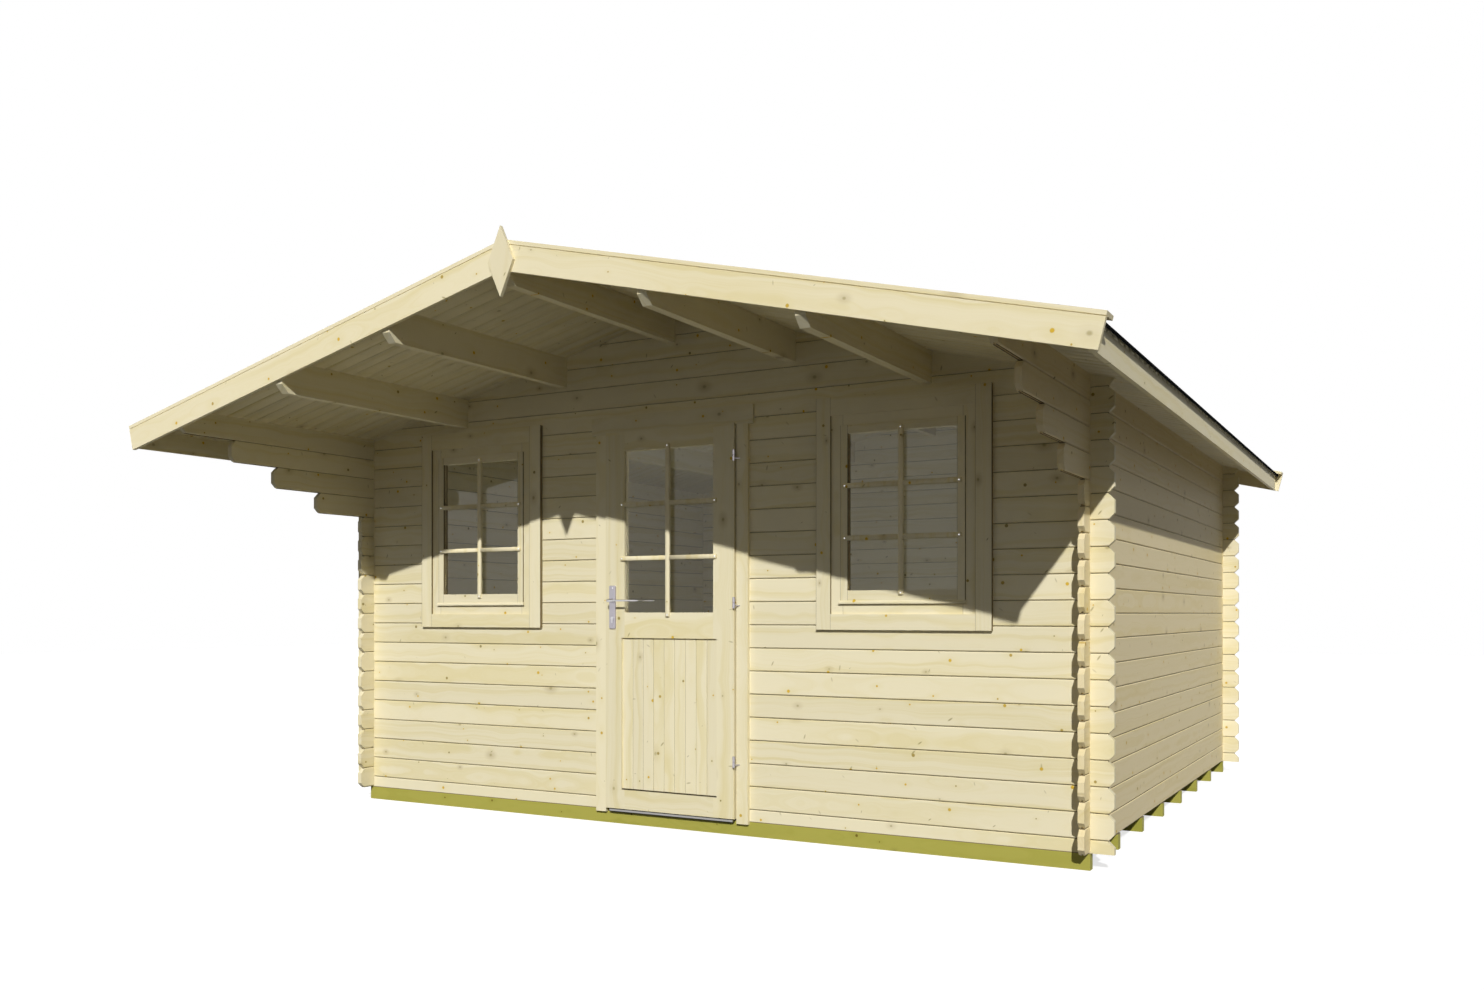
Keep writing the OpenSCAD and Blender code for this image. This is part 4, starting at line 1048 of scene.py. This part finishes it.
def painted_shade_strip():
    """Painted shade: dark brown with a cloudy tone, dull."""
    f = Finish("painted shade strip")
    cloud = f.noise(f.node("TexCoord").outputs["Object"], 90.0, 3.0)
    tone = f.mix(cloud, colour(0.040, 0.032, 0.018), colour(0.085, 0.068, 0.038))
    return f.set(Base_Color=tone, Roughness=f.fade(cloud, 0.2, 0.8, 0.7, 0.9), Specular_IOR_Level=0.1,
                 Normal=f.bump(cloud, 0.0005, 0.4))


shade_strip_profile = eased_rectangle(SHADE_STRIP_W, SHADE_STRIP_H, SHADE_STRIP_EASE)
shade_strip_start = panel_low + [GROOVE_D + SHADE_STRIP_SHORT, -SHADE_STRIP_W / 2, GROOVE_D]
shade_strip_shape = plain_run(shade_strip_profile, shade_strip_start, shade_strip_start * [-1, 1, 1], (0, 1, 0), (0, 0, 1))
# A dark strip at the panel's foot: painted shade for the shaded gap on the bottom rail
make_piece("door_panel_painted_shade", *shade_strip_shape, painted_shade_strip(), "door", "felt")

# %% [markdown]
# ## Floor, light and camera
# The cabin stands on a plain pale floor under one low sun from the right, so the canopy throws its shadow
# across the front. To the camera, to mirrors and through glass the surroundings are white. To scattered light
# they are dimmer, because a white studio all round would fill the shade under the canopy. A wide, weak sun
# lifts the shaded front, another from behind lights the walls that the main sun misses, and a small lamp
# lights the room behind its glass.

# %% Floor
FLOOR_SIZE = 60.0
FLOOR_CELLS = 4
FLOOR_GLOW = 0.72
FLOOR_WHITE = 0.45
FLOOR_DIM = 0.10


def white_to_the_eye(f):
    """1 for rays from the camera, from mirrors and through glass, else 0."""
    ray = f.node("LightPath").outputs
    mirrored = f.math("MAXIMUM", ray["Is Camera Ray"], ray["Is Glossy Ray"])
    return f.math("MAXIMUM", mirrored, ray["Is Transmission Ray"])


def pale_floor():
    """Glows for the eye and keeps a soft shadow; dim for scattered light."""
    f = Finish("pale floor")
    eye = white_to_the_eye(f)
    tone = f.mix(eye, colour(*[FLOOR_DIM] * 3), colour(*[FLOOR_WHITE] * 3))
    return f.set(Base_Color=tone, Roughness=1.0, Specular_IOR_Level=0.0, Emission_Color=colour(1, 1, 1),
                 Emission_Strength=f.math("MULTIPLY", eye, FLOOR_GLOW))


line = np.linspace(-0.5, 0.5, FLOOR_CELLS + 1) * FLOOR_SIZE
floor_points = np.stack(np.meshgrid(line, line, 0.0), -1).reshape(-1, 3)
cell = np.arange(len(floor_points)).reshape(len(line), len(line))
floor_quads = np.stack([cell[:-1, :-1], cell[:-1, 1:], cell[1:, 1:], cell[1:, :-1]], -1).reshape(-1, 4)
floor_mesh = bpy.data.meshes.new("pale_floor")
floor_mesh.from_pydata(floor_points.tolist(), [], floor_quads.tolist())
floor_mesh.materials.append(pale_floor())
ground = bpy.data.objects.new("pale_floor", floor_mesh)
bpy.context.scene.collection.objects.link(ground)
print("The floor is", FLOOR_SIZE, "m wide")

# %% Light
# Each sun's direction of travel, strength and width in degrees; a wide one is soft
SUNS = {
    "sun": ((-0.385, 0.762, -0.520), 3.38, 0.7),
    "front_fill": ((0.0, 1.0, -0.05), 0.31, 100),
    "back_fill": ((0.45, -0.80, -0.40), 1.5, 50),
}
SKY_FILL = 0.100
ROOM_LIGHT = 9.5
ROOM_LIGHT_TONE = (0.665, 0.775, 1.0)
ROOM_LIGHT_R = 0.25
ROOM_LIGHT_Z = 0.65

scene = bpy.context.scene
for name, (travel, strength, wide) in SUNS.items():
    lamp = bpy.data.objects.new(name, bpy.data.lights.new(name, "SUN"))
    lamp.data.energy = strength
    lamp.data.angle = math.radians(wide)
    lamp.rotation_euler = Vector(travel).to_track_quat("-Z", "Y").to_euler()
    scene.collection.objects.link(lamp)
room_light = bpy.data.objects.new("room_light", bpy.data.lights.new("room_light", "POINT"))
room_light.data.energy = ROOM_LIGHT
room_light.data.color = ROOM_LIGHT_TONE
room_light.data.shadow_soft_size = ROOM_LIGHT_R
room_light.location = (0.0, (FRONT_Y + BACK_Y) / 2, LOGS_Z + ROOM_LIGHT_Z)
room_light.visible_camera = room_light.visible_glossy = room_light.visible_transmission = False
scene.collection.objects.link(room_light)

sky = Finish("white surroundings", "worlds", "Background")
sky_strength = sky.fade(white_to_the_eye(sky), 0.0, 1.0, SKY_FILL, 1.0)
scene.world = sky.set(Color=colour(1, 1, 1), Strength=sky_strength)
scene.view_settings.view_transform = "Standard"
print("One sun, soft fills from the front and from behind, a lamp in the room and a dim white sky")

# %% Camera
CAMERA_OUT = 1.286
CAMERA_AHEAD = 5.331
CAMERA_UP = 1.026
CAMERA_YAW = math.radians(29.33)
LENS_MM = 29.91
SENSOR_MM = 36.0
IMAGE_W, IMAGE_H = 1484, 990
HORIZON_ROW = 613.7

camera = bpy.data.objects.new("camera", bpy.data.cameras.new("camera"))
camera.location = (SIDE_X + CAMERA_OUT, FRONT_Y - CAMERA_AHEAD, LOGS_Z + CAMERA_UP)
camera.rotation_euler = (math.pi / 2, 0.0, CAMERA_YAW)
camera.data.sensor_fit = "HORIZONTAL"
camera.data.sensor_width = SENSOR_MM
camera.data.lens = LENS_MM
camera.data.shift_y = (HORIZON_ROW - IMAGE_H / 2) / IMAGE_W
scene.collection.objects.link(camera)
scene.camera = camera
print("The camera stands at", [round(value, 3) for value in camera.location])
